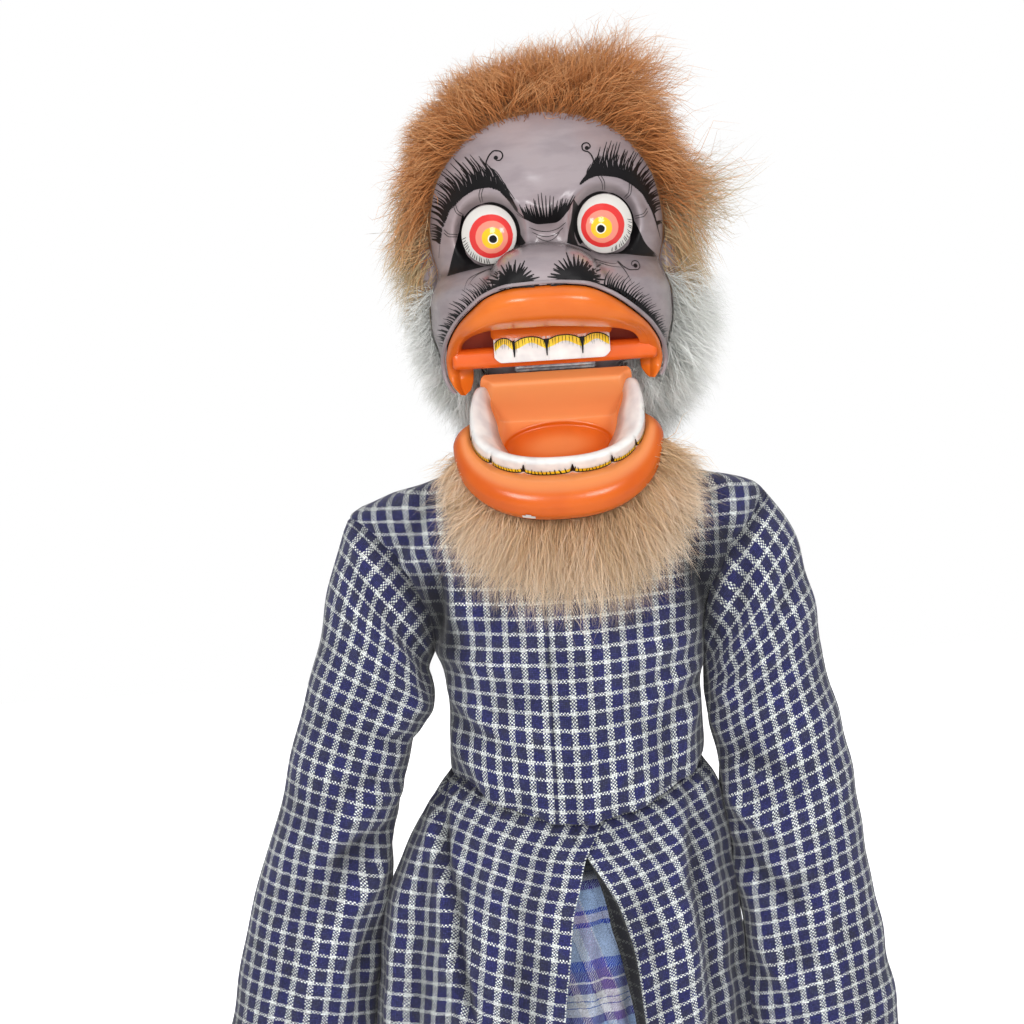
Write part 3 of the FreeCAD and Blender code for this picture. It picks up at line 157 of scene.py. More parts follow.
def flow(places, values, at):
    """A smooth curve through values at places, read at other places, that doesn't overshoot."""
    places, values = np.asarray(places, float), np.asarray(values, float)
    rises = np.diff(values) / np.diff(places)
    product = rises[:-1] * rises[1:]
    middle = np.where(product > 0, 2 * product / np.where(product > 0, rises[:-1] + rises[1:], 1), 0)
    slopes = np.concatenate([[rises[0]], middle, [rises[-1]]])
    at = np.clip(at, places[0], places[-1])
    index = np.clip(np.searchsorted(places, at, side="right") - 1, 0, len(places) - 2)
    span = places[index + 1] - places[index]
    way = (at - places[index]) / span
    ease = eased(way)
    return ((1 - ease) * values[index] + ease * values[index + 1]
            + span * (way * (1 - way) ** 2 * slopes[index] - way * way * (1 - way) * slopes[index + 1]))


def corners_of(grid):
    """The four corners of each cell of a grid, in order round the cell."""
    return np.stack([grid[:-1, :-1], grid[:-1, 1:], grid[1:, 1:], grid[1:, :-1]], 2)


def piece(name, vertices, faces, material, body):
    """A smooth mesh of points in metres that rides on its body, if it has just one."""
    mesh = bpy.data.meshes.new(name)
    mesh.from_pydata(vertices.tolist(), [], faces)
    mesh.polygons.foreach_set("use_smooth", [True] * len(mesh.polygons))
    mesh.materials.append(material)
    made = bpy.data.objects.new(name, mesh)
    bpy.context.scene.collection.objects.link(made)
    if body:
        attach(made, body)
    return made


def surface(name, points, material, body, round_columns=True, close_ends=(False, False), uv=None,
            painted_light_and_shade=None):
    """A mesh over a grid of points in millimetres, rows by columns by xyz, wound so that it faces outwards
    when the columns run clockwise seen from the last row. uv is a grid of millimetres too, for a piece with
    two free sides, and the last grid is shares of painted light and shade that its material reads: painted
    shade in the cloth's folds and the face's creases, painted light on the jaw, a darker tone on the bead."""
    rows, columns = points.shape[:2]
    number = np.arange(rows * columns).reshape(rows, columns)
    if round_columns:
        number = np.hstack([number, number[:, :1]])
    faces = corners_of(number).reshape(-1, 4).tolist()
    vertices = points.reshape(-1, 3) * MM
    for end, row, turned in ((0, 0, True), (1, rows - 1, False)):
        if close_ends[end]:
            middle = vertices[number[row, :columns]].mean(0)
            vertices = np.vstack([vertices, middle])
            ring = number[row, ::-1] if turned else number[row]
            faces += [[int(a), int(b), len(vertices) - 1] for a, b in zip(ring[:-1], ring[1:])]
    made = piece(name, vertices, faces, material, body)
    if uv is not None:
        made.data.uv_layers.new(name="cloth_mm").data.foreach_set("uv", corners_of(uv).ravel())
    if painted_light_and_shade is not None:
        depth = made.data.attributes.new("painted_light_and_shade", "FLOAT", "POINT")
        depth.data.foreach_set("value", painted_light_and_shade.astype(np.float32).ravel())
    return made


def power(base, exponent):
    """A signed power: keeps the sign of the base."""
    return np.sign(base) * np.abs(base) ** exponent


def dome(x, z, middle_x, middle_z, half_x, half_z, sharp=2.0):
    """A bump that is 1 in its middle and fades to nothing about its half sizes."""
    return np.exp(-(np.abs((x - middle_x) / half_x) ** sharp + np.abs((z - middle_z) / half_z) ** sharp))


def brow_height(x):
    """The height of the brow's edge across the face: two arches that dip to the middle."""
    return flow((-56, -49, -38, -25, -11, 0, 11, 27, 40, 52, 57),
                (744, 752, 767, 773.5, 763, 756.5, 766, 776.5, 770, 754, 746), x)


def face_relief(x, z):
    """How far the face stands forward of its plain block, in millimetres."""
    relief = 3.4 * np.exp(-((z - brow_height(x) - 3.5) / 6.5) ** 2) * np.exp(-np.abs(x / 50) ** 6)
    relief += 3.6 * dome(x, z, 2, 764, 15, 12)
    relief += 2.2 * dome(x, z, 0, 785, 34, 20)
    for hand in ("left", "right"):
        eye_x, eye_z = EYE_AT[hand]
        away = np.hypot(x - eye_x, (z - eye_z) / 1.08)
        relief -= 7.6 * np.exp(-(away / 14.9) ** 10)
        relief += 2.5 * np.exp(-((away - 17.2) / 2.6) ** 2) * np.clip((z - eye_z + 9) / 10, 0, 1)
        out = -1 if hand == "left" else 1
        relief += 3.0 * dome(x, z, out * 34, 727, 15, 11)
    relief -= 3.0 * dome(x, z, 0, 751.5, 7.5, 4.5)
    return relief


def nose_depth(x, z):
    """How far inside the nose's outline a place lies, in millimetres; less than nothing outside it."""
    places = (-33, -31.2, -29.5, -26, -22.6, -18, -11, -2, 7, 13, 18.3, 22, 25, 27, 29)
    heights = (716, 724, 729.5, 735.6, 740, 743.4, 745.7, 746.3, 745.2, 742.8, 739, 735, 729.6, 724, 716)
    top = flow(places, heights, x)
    slope = flow(places, heights, x + 0.2) - flow(places, heights, x - 0.2)
    return np.where((x > -33) & (x < 29), (top - z) / np.hypot(1, slope / 0.4), -9.0)


def crease_height(x):
    """Where the muzzle's top meets the face, beside the nose."""
    return flow((-52, -45, -38, -30, -20, 0, 20, 32, 42, 50, 54),
                (733, 734.2, 735.8, 737.4, 739.5, 741, 740.5, 738.6, 736.8, 735, 734), x)


def nosed(x, z, y):
    """The skin with the nose's ball laid on it."""
    into = np.clip(nose_depth(x, z) / 15.0, 0, 1)
    ball = -(51.5 + 29.5 * np.sqrt(1 - (1 - into) ** 2.3)) + 90 * (into <= 0)
    return -1.1 * np.logaddexp(-y / 1.1, -ball / 1.1)


def crease_shade(x, z):
    """Painted shade in the creases round the nose and over the muzzle, as a share of the paint's tone."""
    round_nose = 0.5 * np.exp(-((nose_depth(x, z) - 0.3) / 1.5) ** 2) * np.clip((z - 724) / 5, 0, 1)
    over_muzzle = (0.42 * np.exp(-((z - crease_height(x) - 0.6) / 1.7) ** 2)
                   * np.clip((np.abs(x + 2) - 19) / 6, 0, 1))
    return (1 - round_nose) * (1 - over_muzzle)


def head_section(z):
    """At a height: half width, reach forward, reach back, middle y and squareness of the block."""
    half_width = flow((638, 662, 682, 690, 700, 712, 722, 735, 746, 755, 772, 795, 808, 816, 820),
                      (19, 28, 46, 50, 52.5, 55, 54.8, 50.8, 53.2, 54, 53.5, 47, 36, 23, 2), z)
    front = flow((638, 668, 690, 710, 721, 727, 731.5, 734.5, 737, 739.5, 750, 760, 775, 795, 808, 816, 820),
                 (-18, -30, -60, -77, -79, -76.2, -70.5, -63, -56, -53.6, -54, -54, -54, -46, -35, -23, -4),
                 z)
    back = flow((638, 660, 690, 715, 745, 775, 795, 808, 816, 820), (18, 24, 41, 48, 49, 46, 39, 28, 17, 0),
                z)
    middle = flow((638, 668, 700, 745, 820), (0, 0, -4, -3, -2), z)
    square = flow((638, 680, 700, 727, 745, 760, 820), (2, 2.3, 2.7, 2.7, 2.25, 2.1, 2.0), z)
    return half_width, middle - front, back - middle, middle, square


def mouth_arch(angle):
    """The lower edge of the face round the block: the lip's line in front, the neck's seat behind."""
    turn = np.abs(angle) / math.pi
    return flow((0, 0.065, 0.136, 0.202, 0.278, 0.35, 0.408, 0.45, 0.5, 0.62, 0.8, 1.0),
                (727.9, 727.6, 724.6, 718.5, 710, 700, 688.5, 683, 681, 668, 648, 642), turn)


def around(columns, lean=1.35):
    """Angles round a piece from the back and round to the back, closer together in front."""
    way = (np.arange(columns) + 0.5) / columns * 2 - 1
    return math.pi * np.sign(way) * np.abs(way) ** lean


def head_points(angle, z):
    """Points of the head's skin for an angle from the front and a height, the relief laid on forwards."""
    half_width, front, back, middle, square = head_section(z)
    across, along = np.sin(angle), np.cos(angle)
    x = half_width * power(across, 2 / square)
    y = middle - np.where(along > 0, front, back) * power(along, 2 / square)
    facing = np.clip(along * 2.2 + 0.25, 0, 1)
    y = y - face_relief(x, z) * facing
    return np.stack([x, np.where(facing > 0.2, nosed(x, z, y), y), z], -1)


def skin_y(x, z, lift=0.0):
    """How far forward the head's skin lies at a place seen from the front, and a lift off it."""
    half_width, front, back, middle, square = head_section(z)
    share = np.clip(np.abs(x) / half_width, 0, 0.9995) ** square
    facing = np.clip(np.sqrt(1 - share) * 2.2 + 0.25, 0, 1)
    return nosed(x, z, middle - front * (1 - share) ** (1 / square) - face_relief(x, z) * facing) - lift


head_angle = around(HEAD_COLUMNS)
head_low = mouth_arch(head_angle)
head_way = np.linspace(0, 1, HEAD_ROWS)[:, None] ** 0.9
head_grid = head_points(np.broadcast_to(head_angle, (HEAD_ROWS, HEAD_COLUMNS)),
                        head_low + (CROWN_MM - 0.3 - head_low) * head_way)

enamel, tree, shader = blank_material("grey_gloss_enamel")
spot = add(tree, "ShaderNodeTexCoord").outputs["Object"]
combed = add(tree, "ShaderNodeMapping", {"Vector": spot, "Scale": (1, 1, 3)}).outputs["Vector"]
strokes = add(tree, "ShaderNodeTexNoise", {"Vector": combed, "Scale": 60.0, "Detail": 3.0}).outputs["Fac"]
clouds = add(tree, "ShaderNodeTexNoise", {"Vector": spot, "Scale": 34.0, "Detail": 2.0}).outputs["Fac"]
paint = ramp(tree, strokes, (0.36, ENAMEL_DEEP), (0.6, ENAMEL_GREY))
rosy = add(tree, "ShaderNodeMapRange", {"Value": clouds, "From Min": 0.48, "From Max": 0.72,
                                        "To Max": 0.4}).outputs["Result"]
blushed = add(tree, "ShaderNodeMix", {"Factor": rosy, "A": paint, "B": linear(BLUSH)}, data_type="RGBA")
# The attribute darkens the paint: painted shade in the face's creases.
painted_shade_share = add(tree, "ShaderNodeAttribute", attribute_name="painted_light_and_shade").outputs["Fac"]
tone = add(tree, "ShaderNodeMath", {0: 1.0, 1: painted_shade_share}, operation="SUBTRACT").outputs[0]
toned = add(tree, "ShaderNodeMix", {"Factor": 1.0, "A": blushed.outputs["Result"], "B": tone},
            data_type="RGBA", blend_type="MULTIPLY")
tree.links.new(toned.outputs["Result"], shader.inputs["Base Color"])
shader.inputs["Roughness"].default_value = 0.25
bump = add(tree, "ShaderNodeBump", {"Height": strokes, "Strength": 0.06, "Distance": 0.0004})
tree.links.new(bump.outputs["Normal"], shader.inputs["Normal"])
# The creases round the nose and over the muzzle are painted darker, as shade.
head_shade = np.append(1 - crease_shade(head_grid[..., 0], head_grid[..., 2]), 0.0)
head_skin = surface("head_skin", head_grid, enamel, "rod_head", close_ends=(False, True),
                    painted_light_and_shade=head_shade)
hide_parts("head")

# The neck goes down to the chest, and an ear stands at each side under the hair.
neck_turn = np.linspace(-math.pi, math.pi, 64, endpoint=False)[None, :]
neck_z = np.linspace(SEAT_MM, 694, 24)[:, None]
neck_wide = flow((SEAT_MM, 655, 675, 694), (18, 18.5, 24, 36), neck_z)
neck_grid = np.stack([neck_wide * np.sin(neck_turn), 7 * (neck_z - SEAT_MM) / 56 - neck_wide * 0.78
                      * np.cos(neck_turn) - 4, neck_z + 0 * neck_turn], -1)
surface("neck", neck_grid, enamel, "rod_head", close_ends=(True, True))
for side, at_z in ((-1, 738), (1, 731)):
    ear_way = np.linspace(0, 1, 30)[:, None]
    ear_turn = np.linspace(0, 2 * math.pi, 40, endpoint=False)[None, :]
    ear_round = np.sin(math.pi * np.clip(ear_way, 0.03, 0.97)) ** 0.6
    cup = 1.5 * np.exp(-((ear_way - 0.55) / 0.2) ** 2) * np.clip(-np.cos(ear_turn - 0.4), 0, 1) ** 3
    ear_grid = np.stack([side * (53.5 + ear_round * (4.6 + 2.4 * ear_way) * np.sin(ear_turn) - cup),
                         -2 - ear_round * 8 * np.cos(ear_turn) * np.ones_like(ear_way),
                         at_z - 22 + 44 * ear_way + 0 * ear_turn], -1)
    if side > 0:
        ear_grid = ear_grid[:, ::-1]
    surface("left_ear" if side < 0 else "right_ear", ear_grid, enamel, "rod_head",
            close_ends=(True, True))

# Upper lip and the inside of the mouth
# The lip is carved in the head's block as a thick arch that hangs down in a lobe at each side.
# Orange gloss enamel; the hollow behind it is painted a deeper red.

ORANGE = "#E37424"
MOUTH_RED = "#B53A12"
LIP_COLUMNS = 220


def gloss_material(name, pale, deep, roughness=0.24, blend_at=(0.35, 0.65), scale=45.0):
    """Gloss enamel brushed on by hand, its tone drifting a little."""
    made, tree, shader = blank_material(name)
    spot = add(tree, "ShaderNodeTexCoord").outputs["Object"]
    drift = add(tree, "ShaderNodeTexNoise", {"Vector": spot, "Scale": scale, "Detail": 2.0}).outputs["Fac"]
    tree.links.new(ramp(tree, drift, (blend_at[0], deep), (blend_at[1], pale)), shader.inputs["Base Color"])
    shader.inputs["Roughness"].default_value = roughness
    return made


orange = gloss_material("orange_gloss_enamel", ORANGE, "#DA691D")
mouth_red = gloss_material("deep_red_mouth_enamel", "#C0441A", MOUTH_RED, 0.4)

# At each knot along the lip: x and z of its outer edge, its inner edge and its ridge.
LIP_KNOTS = ((-43.5, 680.8, -38.6, 682.4, -41.3, 680.2), (-46.6, 684.5, -37.2, 687.2, -43, 684.5),
             (-48.6, 690, -37, 692.5, -43.4, 689.8), (-48.9, 696, -39.8, 697.5, -43.6, 696),
             (-47.4, 702.6, -41.2, 702, -42.6, 701.6), (-42.9, 711, -38.5, 705.6, -39.8, 706.4),
             (-35.7, 718.3, -35, 707.4, -35.5, 709.2), (-27.6, 724, -26.3, 709.2, -26.6, 712.3),
             (-16.2, 727.1, -15, 709.5, -15.6, 713.6), (-1.6, 727.5, -2.8, 709.5, -2.6, 713.8),
             (12.8, 726.4, 12.8, 708.5, 12.8, 712.8), (23.8, 722.3, 24, 707.4, 24, 711.4),
             (34.5, 714.9, 33.9, 705, 33.7, 708.5), (42.9, 706.6, 37.6, 701.4, 39.6, 704.2),
             (47.4, 698.5, 38.8, 697, 42.4, 698.4), (48.6, 692, 38.6, 692.5, 43, 692.4),
             (47.6, 687, 38.9, 688, 42.8, 687.4), (44.8, 683, 40.8, 684.4, 42.2, 683.2))
lip_way = np.linspace(0, 1, LIP_COLUMNS)
outer, inner, ridge = np.stack([flow(np.linspace(0, 1, len(LIP_KNOTS)), column, lip_way)
                                for column in np.array(LIP_KNOTS).T]).reshape(3, 2, -1)
outer_y = skin_y(outer[0], np.maximum(outer[1], 690))
middle_share = np.sin(math.pi * np.clip((lip_way - 0.12) / 0.76, 0, 1))
outer_y = np.minimum(outer_y, -30 - 8 * middle_share)
window = np.hanning(43)
outer_y = np.convolve(np.pad(outer_y, 21, mode="edge"), window / window.sum(), "valid")
rows = []
for share in np.linspace(0, 1, 26):
    # From the outer edge over the rounded front to the ridge.
    face = outer * (1 - share) + ridge * share
    swell = 4.6 * math.sin(math.pi * share ** 0.8) ** 0.8 * (0.55 + 0.45 * middle_share)
    rows.append(np.stack([face[0], outer_y + 1.0 - swell + (2.0 - 2.5 * middle_share) * share, face[1]], -1))
for share in np.linspace(0, 1, 12)[1:]:
    # Back under the ridge to the inner edge.
    face = ridge * (1 - share) + inner * share
    front_y = outer_y + 3.0 - 2.5 * middle_share
    rows.append(np.stack([face[0], front_y + (3 + 13 * middle_share) * share ** 1.3, face[1]], -1))
for share in np.linspace(0, 1, 8)[1:]:
    # The wall of the mouth, going in.
    front_y = outer_y + 6.0 + 10.5 * middle_share
    rows.append(np.stack([inner[0] * (1 + 0.02 * share), front_y * (1 - share) - 22.0 * share,
                          inner[1] + 0.6 * share], -1))
lip_grid = np.stack(rows)
surface("upper_lip", lip_grid, orange, "rod_head", round_columns=False)
recess_x = np.linspace(-1, 1, 40)[None, :] * 44
recess_z = np.linspace(0, 1, 14)[:, None]
recess_grid = np.stack([recess_x + 0 * recess_z, -24.0 + 0 * recess_x + 0 * recess_z, 692 + 18 * recess_z
                        + 0 * recess_x], -1)
surface("mouth_back", recess_grid, mouth_red, "rod_head", round_columns=False)

# Eyes
# A turned dome let in at each side, white with red, salmon and yellow rings and a black pupil that
# looks inwards, all in gloss enamel.

# Half sizes of the dome, the rings' radii and colours from the pupil outwards, and the middles of
# the outermost ring and of the pupil.
EYE_RADII = (12.3, 13.1)
EYE_HEIGHT = 6.0
EYE_WHITE = "#E2DED8"
EYE_RINGS = ((1.75, "#0B0A0C"), (2.25, "#F6F1E2"), (4.7, "#F2C327"), (7.2, "#F0907C"), (9.7, "#E23A38"))
LOOKS_AT = {"left": ((-24.9, 750.6), (-23.9, 748.9)), "right": ((24.7, 752.2), (23.5, 750.4))}
EYE_WRAP = 0.26
EYE_BASE_Y = -48.4


def eye_material(name, ring_at, pupil_at):
    """Rings round a middle that drifts from the outer ring's to the pupil's."""
    made, tree, shader = blank_material(name)
    spot = add(tree, "ShaderNodeTexCoord").outputs["Object"]
    wobble = add(tree, "ShaderNodeTexNoise", {"Vector": spot, "Scale": 420.0, "Detail": 1.0}).outputs["Fac"]
    colour = linear(EYE_WHITE)
    flat = add(tree, "ShaderNodeMapping", {"Vector": spot, "Scale": (1000, 0, 1000)}).outputs["Vector"]
    outermost = EYE_RINGS[-1][0]
    for radius, paint in reversed(EYE_RINGS):
        share = radius / outermost
        middle = [pupil_at[axis] + (ring_at[axis] - pupil_at[axis]) * share for axis in (0, 1)]
        away = add(tree, "ShaderNodeVectorMath", {0: flat, 1: (middle[0], 0, middle[1])},
                   operation="DISTANCE")
        edge = add(tree, "ShaderNodeMath", {0: wobble, 1: 0.35, 2: radius - 0.17},
                   operation="MULTIPLY_ADD").outputs[0]
        inside = add(tree, "ShaderNodeMath", {0: edge, 1: away.outputs["Value"]},
                     operation="SUBTRACT").outputs[0]
        mask = add(tree, "ShaderNodeMapRange",
                   {"Value": inside, "From Min": -0.12, "From Max": 0.12}).outputs["Result"]
        layer = add(tree, "ShaderNodeMix", {"Factor": mask, "A": colour, "B": linear(paint)},
                    data_type="RGBA")
        colour = layer.outputs["Result"]
    tree.links.new(colour, shader.inputs["Base Color"])
    shader.inputs["Roughness"].default_value = 0.12
    return made


for hand, side in (("left", -1), ("right", 1)):
    eye_x, eye_z = EYE_AT[hand]
    ring_way = np.linspace(1, 0.02, 36)[:, None]
    turn = np.linspace(0, -2 * math.pi, 96, endpoint=False)[None, :]
    across = EYE_RADII[0] * ring_way * np.cos(turn)
    up = EYE_RADII[1] * ring_way * np.sin(turn)
    bulge = EYE_HEIGHT * (1 - ring_way ** 2.2) + 0 * turn
    back = EYE_BASE_Y + side * EYE_WRAP * across
    eye_grid = np.stack([eye_x + across, back - bulge, eye_z + up], -1)
    skirt = eye_grid[:1] + [[[0, 6.0, 0]]]
    eye_grid = np.concatenate([skirt, eye_grid])[:, ::-1]
    dome_made = surface(hand + "_eye_dome", eye_grid, eye_material(hand + "_eye_rings", *LOOKS_AT[hand]),
                        "rod_head", close_ends=(False, True))
    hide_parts(hand + "_eye")

# Painted lines of the face
# Black gloss paint laid on with a fine brush: brows of single hairs with a curl each, lid lines,
# lashes, corner wedges, nostril tufts, whiskers along the lip and wrinkles between the eyes.

LINE_BLACK = "#0D0B0D"
PAINT_LIFT = 0.22
black_paint = gloss_material("black_line_paint", LINE_BLACK, "#120F12", 0.5)
black_paint.node_tree.nodes["Principled BSDF"].inputs["Specular IOR Level"].default_value = 0.25
paint_strips = []


def steps_along(points):
    """How far along a line each of its points lies."""
    return np.concatenate([[0], np.cumsum(np.hypot(*np.diff(points, axis=0).T))])


def stroke(points, width, taper=(1.0, 0.15), places=14):
    """One brush line through points in x and z: widths in millimetres, thinned towards its ends."""
    points = np.asarray(points, float)
    steps = steps_along(points)
    at = np.linspace(0, steps[-1], places)
    line = np.stack([flow(steps, points[:, axis], at) for axis in (0, 1)])
    way = np.gradient(line, axis=1)
    side = np.stack([-way[1], way[0]]) / np.maximum(np.hypot(*way), 1e-6)
    share = at / steps[-1]
    half = 0.5 * width * (taper[0] * (1 - share) + taper[1] * share)
    half = half * np.minimum(1, 0.35 + 6 * share)
    paint_strips.append((line + side * half, line - side * half, 1))


def fill(edge_a, edge_b, across=8, places=40):
    """Solid paint between two edges in x and z."""
    both = []
    for edge in (edge_a, edge_b):
        edge = np.asarray(edge, float)
        steps = steps_along(edge)
        at = np.linspace(0, steps[-1], places)
        both.append(np.stack([flow(steps, edge[:, 0], at), flow(steps, edge[:, 1], at)]))
    paint_strips.append((both[0], both[1], across))


def paint_mesh(name, grids, material, body):
    """Paint laid on as many small grids in one mesh, each wound so that it faces forwards."""
    vertices, faces, start = [], [], 0
    for grid in grids:
        rows, columns = grid.shape[:2]
        quads = corners_of(start + np.arange(rows * columns).reshape(rows, columns)).reshape(-1, 4)
        if np.cross(grid[0, 1] - grid[0, 0], grid[1, 0] - grid[0, 0])[1] > 0:
            quads = quads[:, ::-1]
        vertices.append(grid.reshape(-1, 3))
        faces.append(quads)
        start += rows * columns
    return piece(name, np.concatenate(vertices) * MM, np.concatenate(faces).tolist(), material, body)


def painted(name, height_of, material, body):
    """One mesh of all the strips, laid on a surface that height_of(x, z) gives as y; empties the list."""
    grids = []
    for edge_a, edge_b, across in paint_strips:
        share = np.linspace(0, 1, across + 1)[:, None]
        x = edge_a[0] * (1 - share) + edge_b[0] * share
        z = edge_a[1] * (1 - share) + edge_b[1] * share
        grids.append(np.stack([x, height_of(x, z), z], -1))
    paint_strips.clear()
    return paint_mesh(name, grids, material, body)


draw = np.random.default_rng(7)


def hairs(root_edge, count, length, lean, width=0.55, bend=0.25, jitter=0.12):
    """Brush hairs from along an edge. length and lean (degrees, from x towards z) run from its start to
    its end."""
    root_edge = np.asarray(root_edge, float)
    steps = steps_along(root_edge)
    for number in range(count):
        share = (number + 0.5 + draw.uniform(-0.3, 0.3)) / count
        at = share * steps[-1]
        root = np.array([np.interp(at, steps, root_edge[:, 0]), np.interp(at, steps, root_edge[:, 1])])
        places = np.linspace(0, 1, len(length))
        long = np.interp(share, places, length) * (1 + draw.uniform(-jitter, jitter))
        angle = math.radians(np.interp(share, np.linspace(0, 1, len(lean)), lean) + draw.uniform(-4, 4))
        way = np.array([math.cos(angle), math.sin(angle)])
        side = np.array([-way[1], way[0]])
        middle = root + way * long * 0.5 + side * long * bend * 0.35
        tip = root + way * long + side * long * bend * -0.05
        stroke([root, middle, tip], width, (1.0, 0.2), 7)


def ring_points(middle, radii, low, high, count=30, turn=0.0):
    """Points on an oval from one bearing to another, in degrees from x towards z."""
    bearing = np.radians(np.linspace(low, high, count) + turn)
    return np.stack([middle[0] + radii[0] * np.cos(bearing), middle[1] + radii[1] * np.sin(bearing)], -1)


def curl(points, width=0.62):
    """A line that winds in to a round dot."""
    points = np.asarray(points, float)
    stroke(points, width, (0.9, 1.0), 60)
    dot = ring_points(points[0] + np.array([0, -0.3]), (0.95, 0.95), 0, 180, 12)
    paint_strips.append((dot.T, (dot * [1, -1] + [0, 2 * (points[0][1] - 0.3)]).T, 4))


# Brows.
left_low = [(-49.4, 742.5), (-47.2, 754.9), (-42.7, 763.6), (-36.1, 768.8), (-30, 771.6), (-24.6, 772),
            (-19.7, 770), (-16, 765.3), (-11.9, 759.4), (-7.5, 756)]
left_high = [(-49.5, 742.8), (-47.1, 756.0), (-42.9, 765.4), (-36.4, 771.6), (-30.6, 774.8), (-25.0, 775.2),
             (-20.1, 772.4), (-16.2, 766.4), (-12.0, 760.0), (-7.7, 756.4)]
right_low = [(15.4, 770.4), (19.5, 772.8), (24.1, 774), (32, 773), (38.6, 769.7), (43.9, 764.9), (48, 756.7),
             (51.4, 744.5)]
right_high = [(15.5, 770.8), (19.8, 774.6), (24.8, 776.8), (32.0, 776.6), (38.8, 773.0), (44.4, 767.0),
              (48.6, 758.2), (51.5, 744.8)]
fill(left_low, left_high)
fill(right_low, right_high)
left_root = [(-48.2, 748.6), (-46.9, 754.8), (-42.6, 763.4), (-36.1, 768.8), (-30.2, 771.8), (-24.8, 772.2),
             (-19.8, 770.0), (-15.6, 764.8), (-12.4, 760)]
right_root = [(15.6, 770.4), (19.6, 772.8), (24.4, 774.4), (32, 773.4), (38.6, 770), (44, 764.9),
              (48.2, 756.7), (50.4, 748.5)]
hairs(left_root, 48, (6, 10.5, 13.5, 15.5, 15.5, 13, 9, 5), (158, 146, 134, 120, 110, 104, 104, 116), 1.15,
      -0.3, 0.16)
hairs(left_root, 64, (4, 7.5, 9.5, 11, 11, 9, 6, 4), (156, 144, 130, 118, 108, 104, 106, 118), 1.25,
      -0.25, 0.22)
hairs(right_root, 48, (3, 9, 14, 15, 13, 10, 7, 4), (56, 82, 90, 82, 64, 44, 26, 14), 1.15, 0.3, 0.16)
hairs(right_root, 64, (2.5, 7, 10, 10.5, 9, 7, 5, 3.5), (54, 78, 86, 76, 58, 40, 24, 12), 1.25, 0.25, 0.22)
hairs([(-49.6, 744), (-47.4, 757)], 9, (4, 7), (172, 156), 0.55, -0.2)
hairs([(51.4, 745), (49.2, 758)], 9, (3, 5), (8, 24), 0.55, 0.2)
curl([(-20.6, 785.3), (-20.9, 784.6), (-20.2, 783.8), (-19.2, 783.7), (-18.1, 784.4), (-17.5, 785.7),
      (-17.9, 787.1), (-19.2, 788.0), (-21.0, 788.2), (-22.7, 787.2), (-24.2, 785.2), (-25.2, 782.4),
      (-25.2, 779.2), (-24.6, 776.0)])
curl([(19.9, 787.0), (20.4, 786.4), (21.1, 786.6), (21.4, 787.5), (20.9, 788.6), (19.8, 789.1), (18.6, 788.8),
      (17.8, 787.7), (17.9, 786.3), (18.9, 785.4), (20.2, 785.0), (21.6, 783.4), (22.4, 781.0),
      (22.8, 777.6)])
stroke([(-23.6, 781), (-20.6, 778.5), (-17.8, 773.5), (-13.5, 766)], 0.5, (0.8, 0.6))

# The tuft between the brows and the wrinkles under it.
tuft_low = [(-13.0, 759.6), (-9.5, 757.0), (-3.2, 754.4), (3.6, 754.6), (9.6, 759.4), (13.3, 765.6)]
tuft_high = [(-13.1, 759.9), (-9.6, 757.5), (-3.3, 755.9), (3.5, 756.2), (9.4, 760.2), (13.2, 765.9)]
fill(tuft_low, tuft_high, 3)
hairs(tuft_low[1:5], 19, (6, 9.5, 14, 9.5, 7), (118, 104, 92, 76, 60), 1.1, 0.05, 0.16)
hairs(tuft_low[1:5], 24, (4.5, 6.5, 8.5, 7, 5), (116, 102, 90, 78, 62), 1.1, 0.05, 0.22)
for drop, half in ((0, 7.5), (2.2, 6.2), (4.2, 4.5)):
    stroke([(-half - 0.5, 753.4 - drop), (-half * 0.5, 751.6 - drop), (0, 751.0 - drop),
            (half * 0.6, 751.9 - drop), (half + 0.8, 754.4 - drop)], 0.42, (0.7, 0.6))
for at_x, hand in ((-12.6, -1), (12.9, 1)):
    for step in (0, 2.3):
        stroke([(at_x + hand * (2.6 + step), 757.6), (at_x + hand * (1.0 + step), 753),
                (at_x + hand * (1.8 + step), 748.5)], 0.4, (0.5, 0.6))

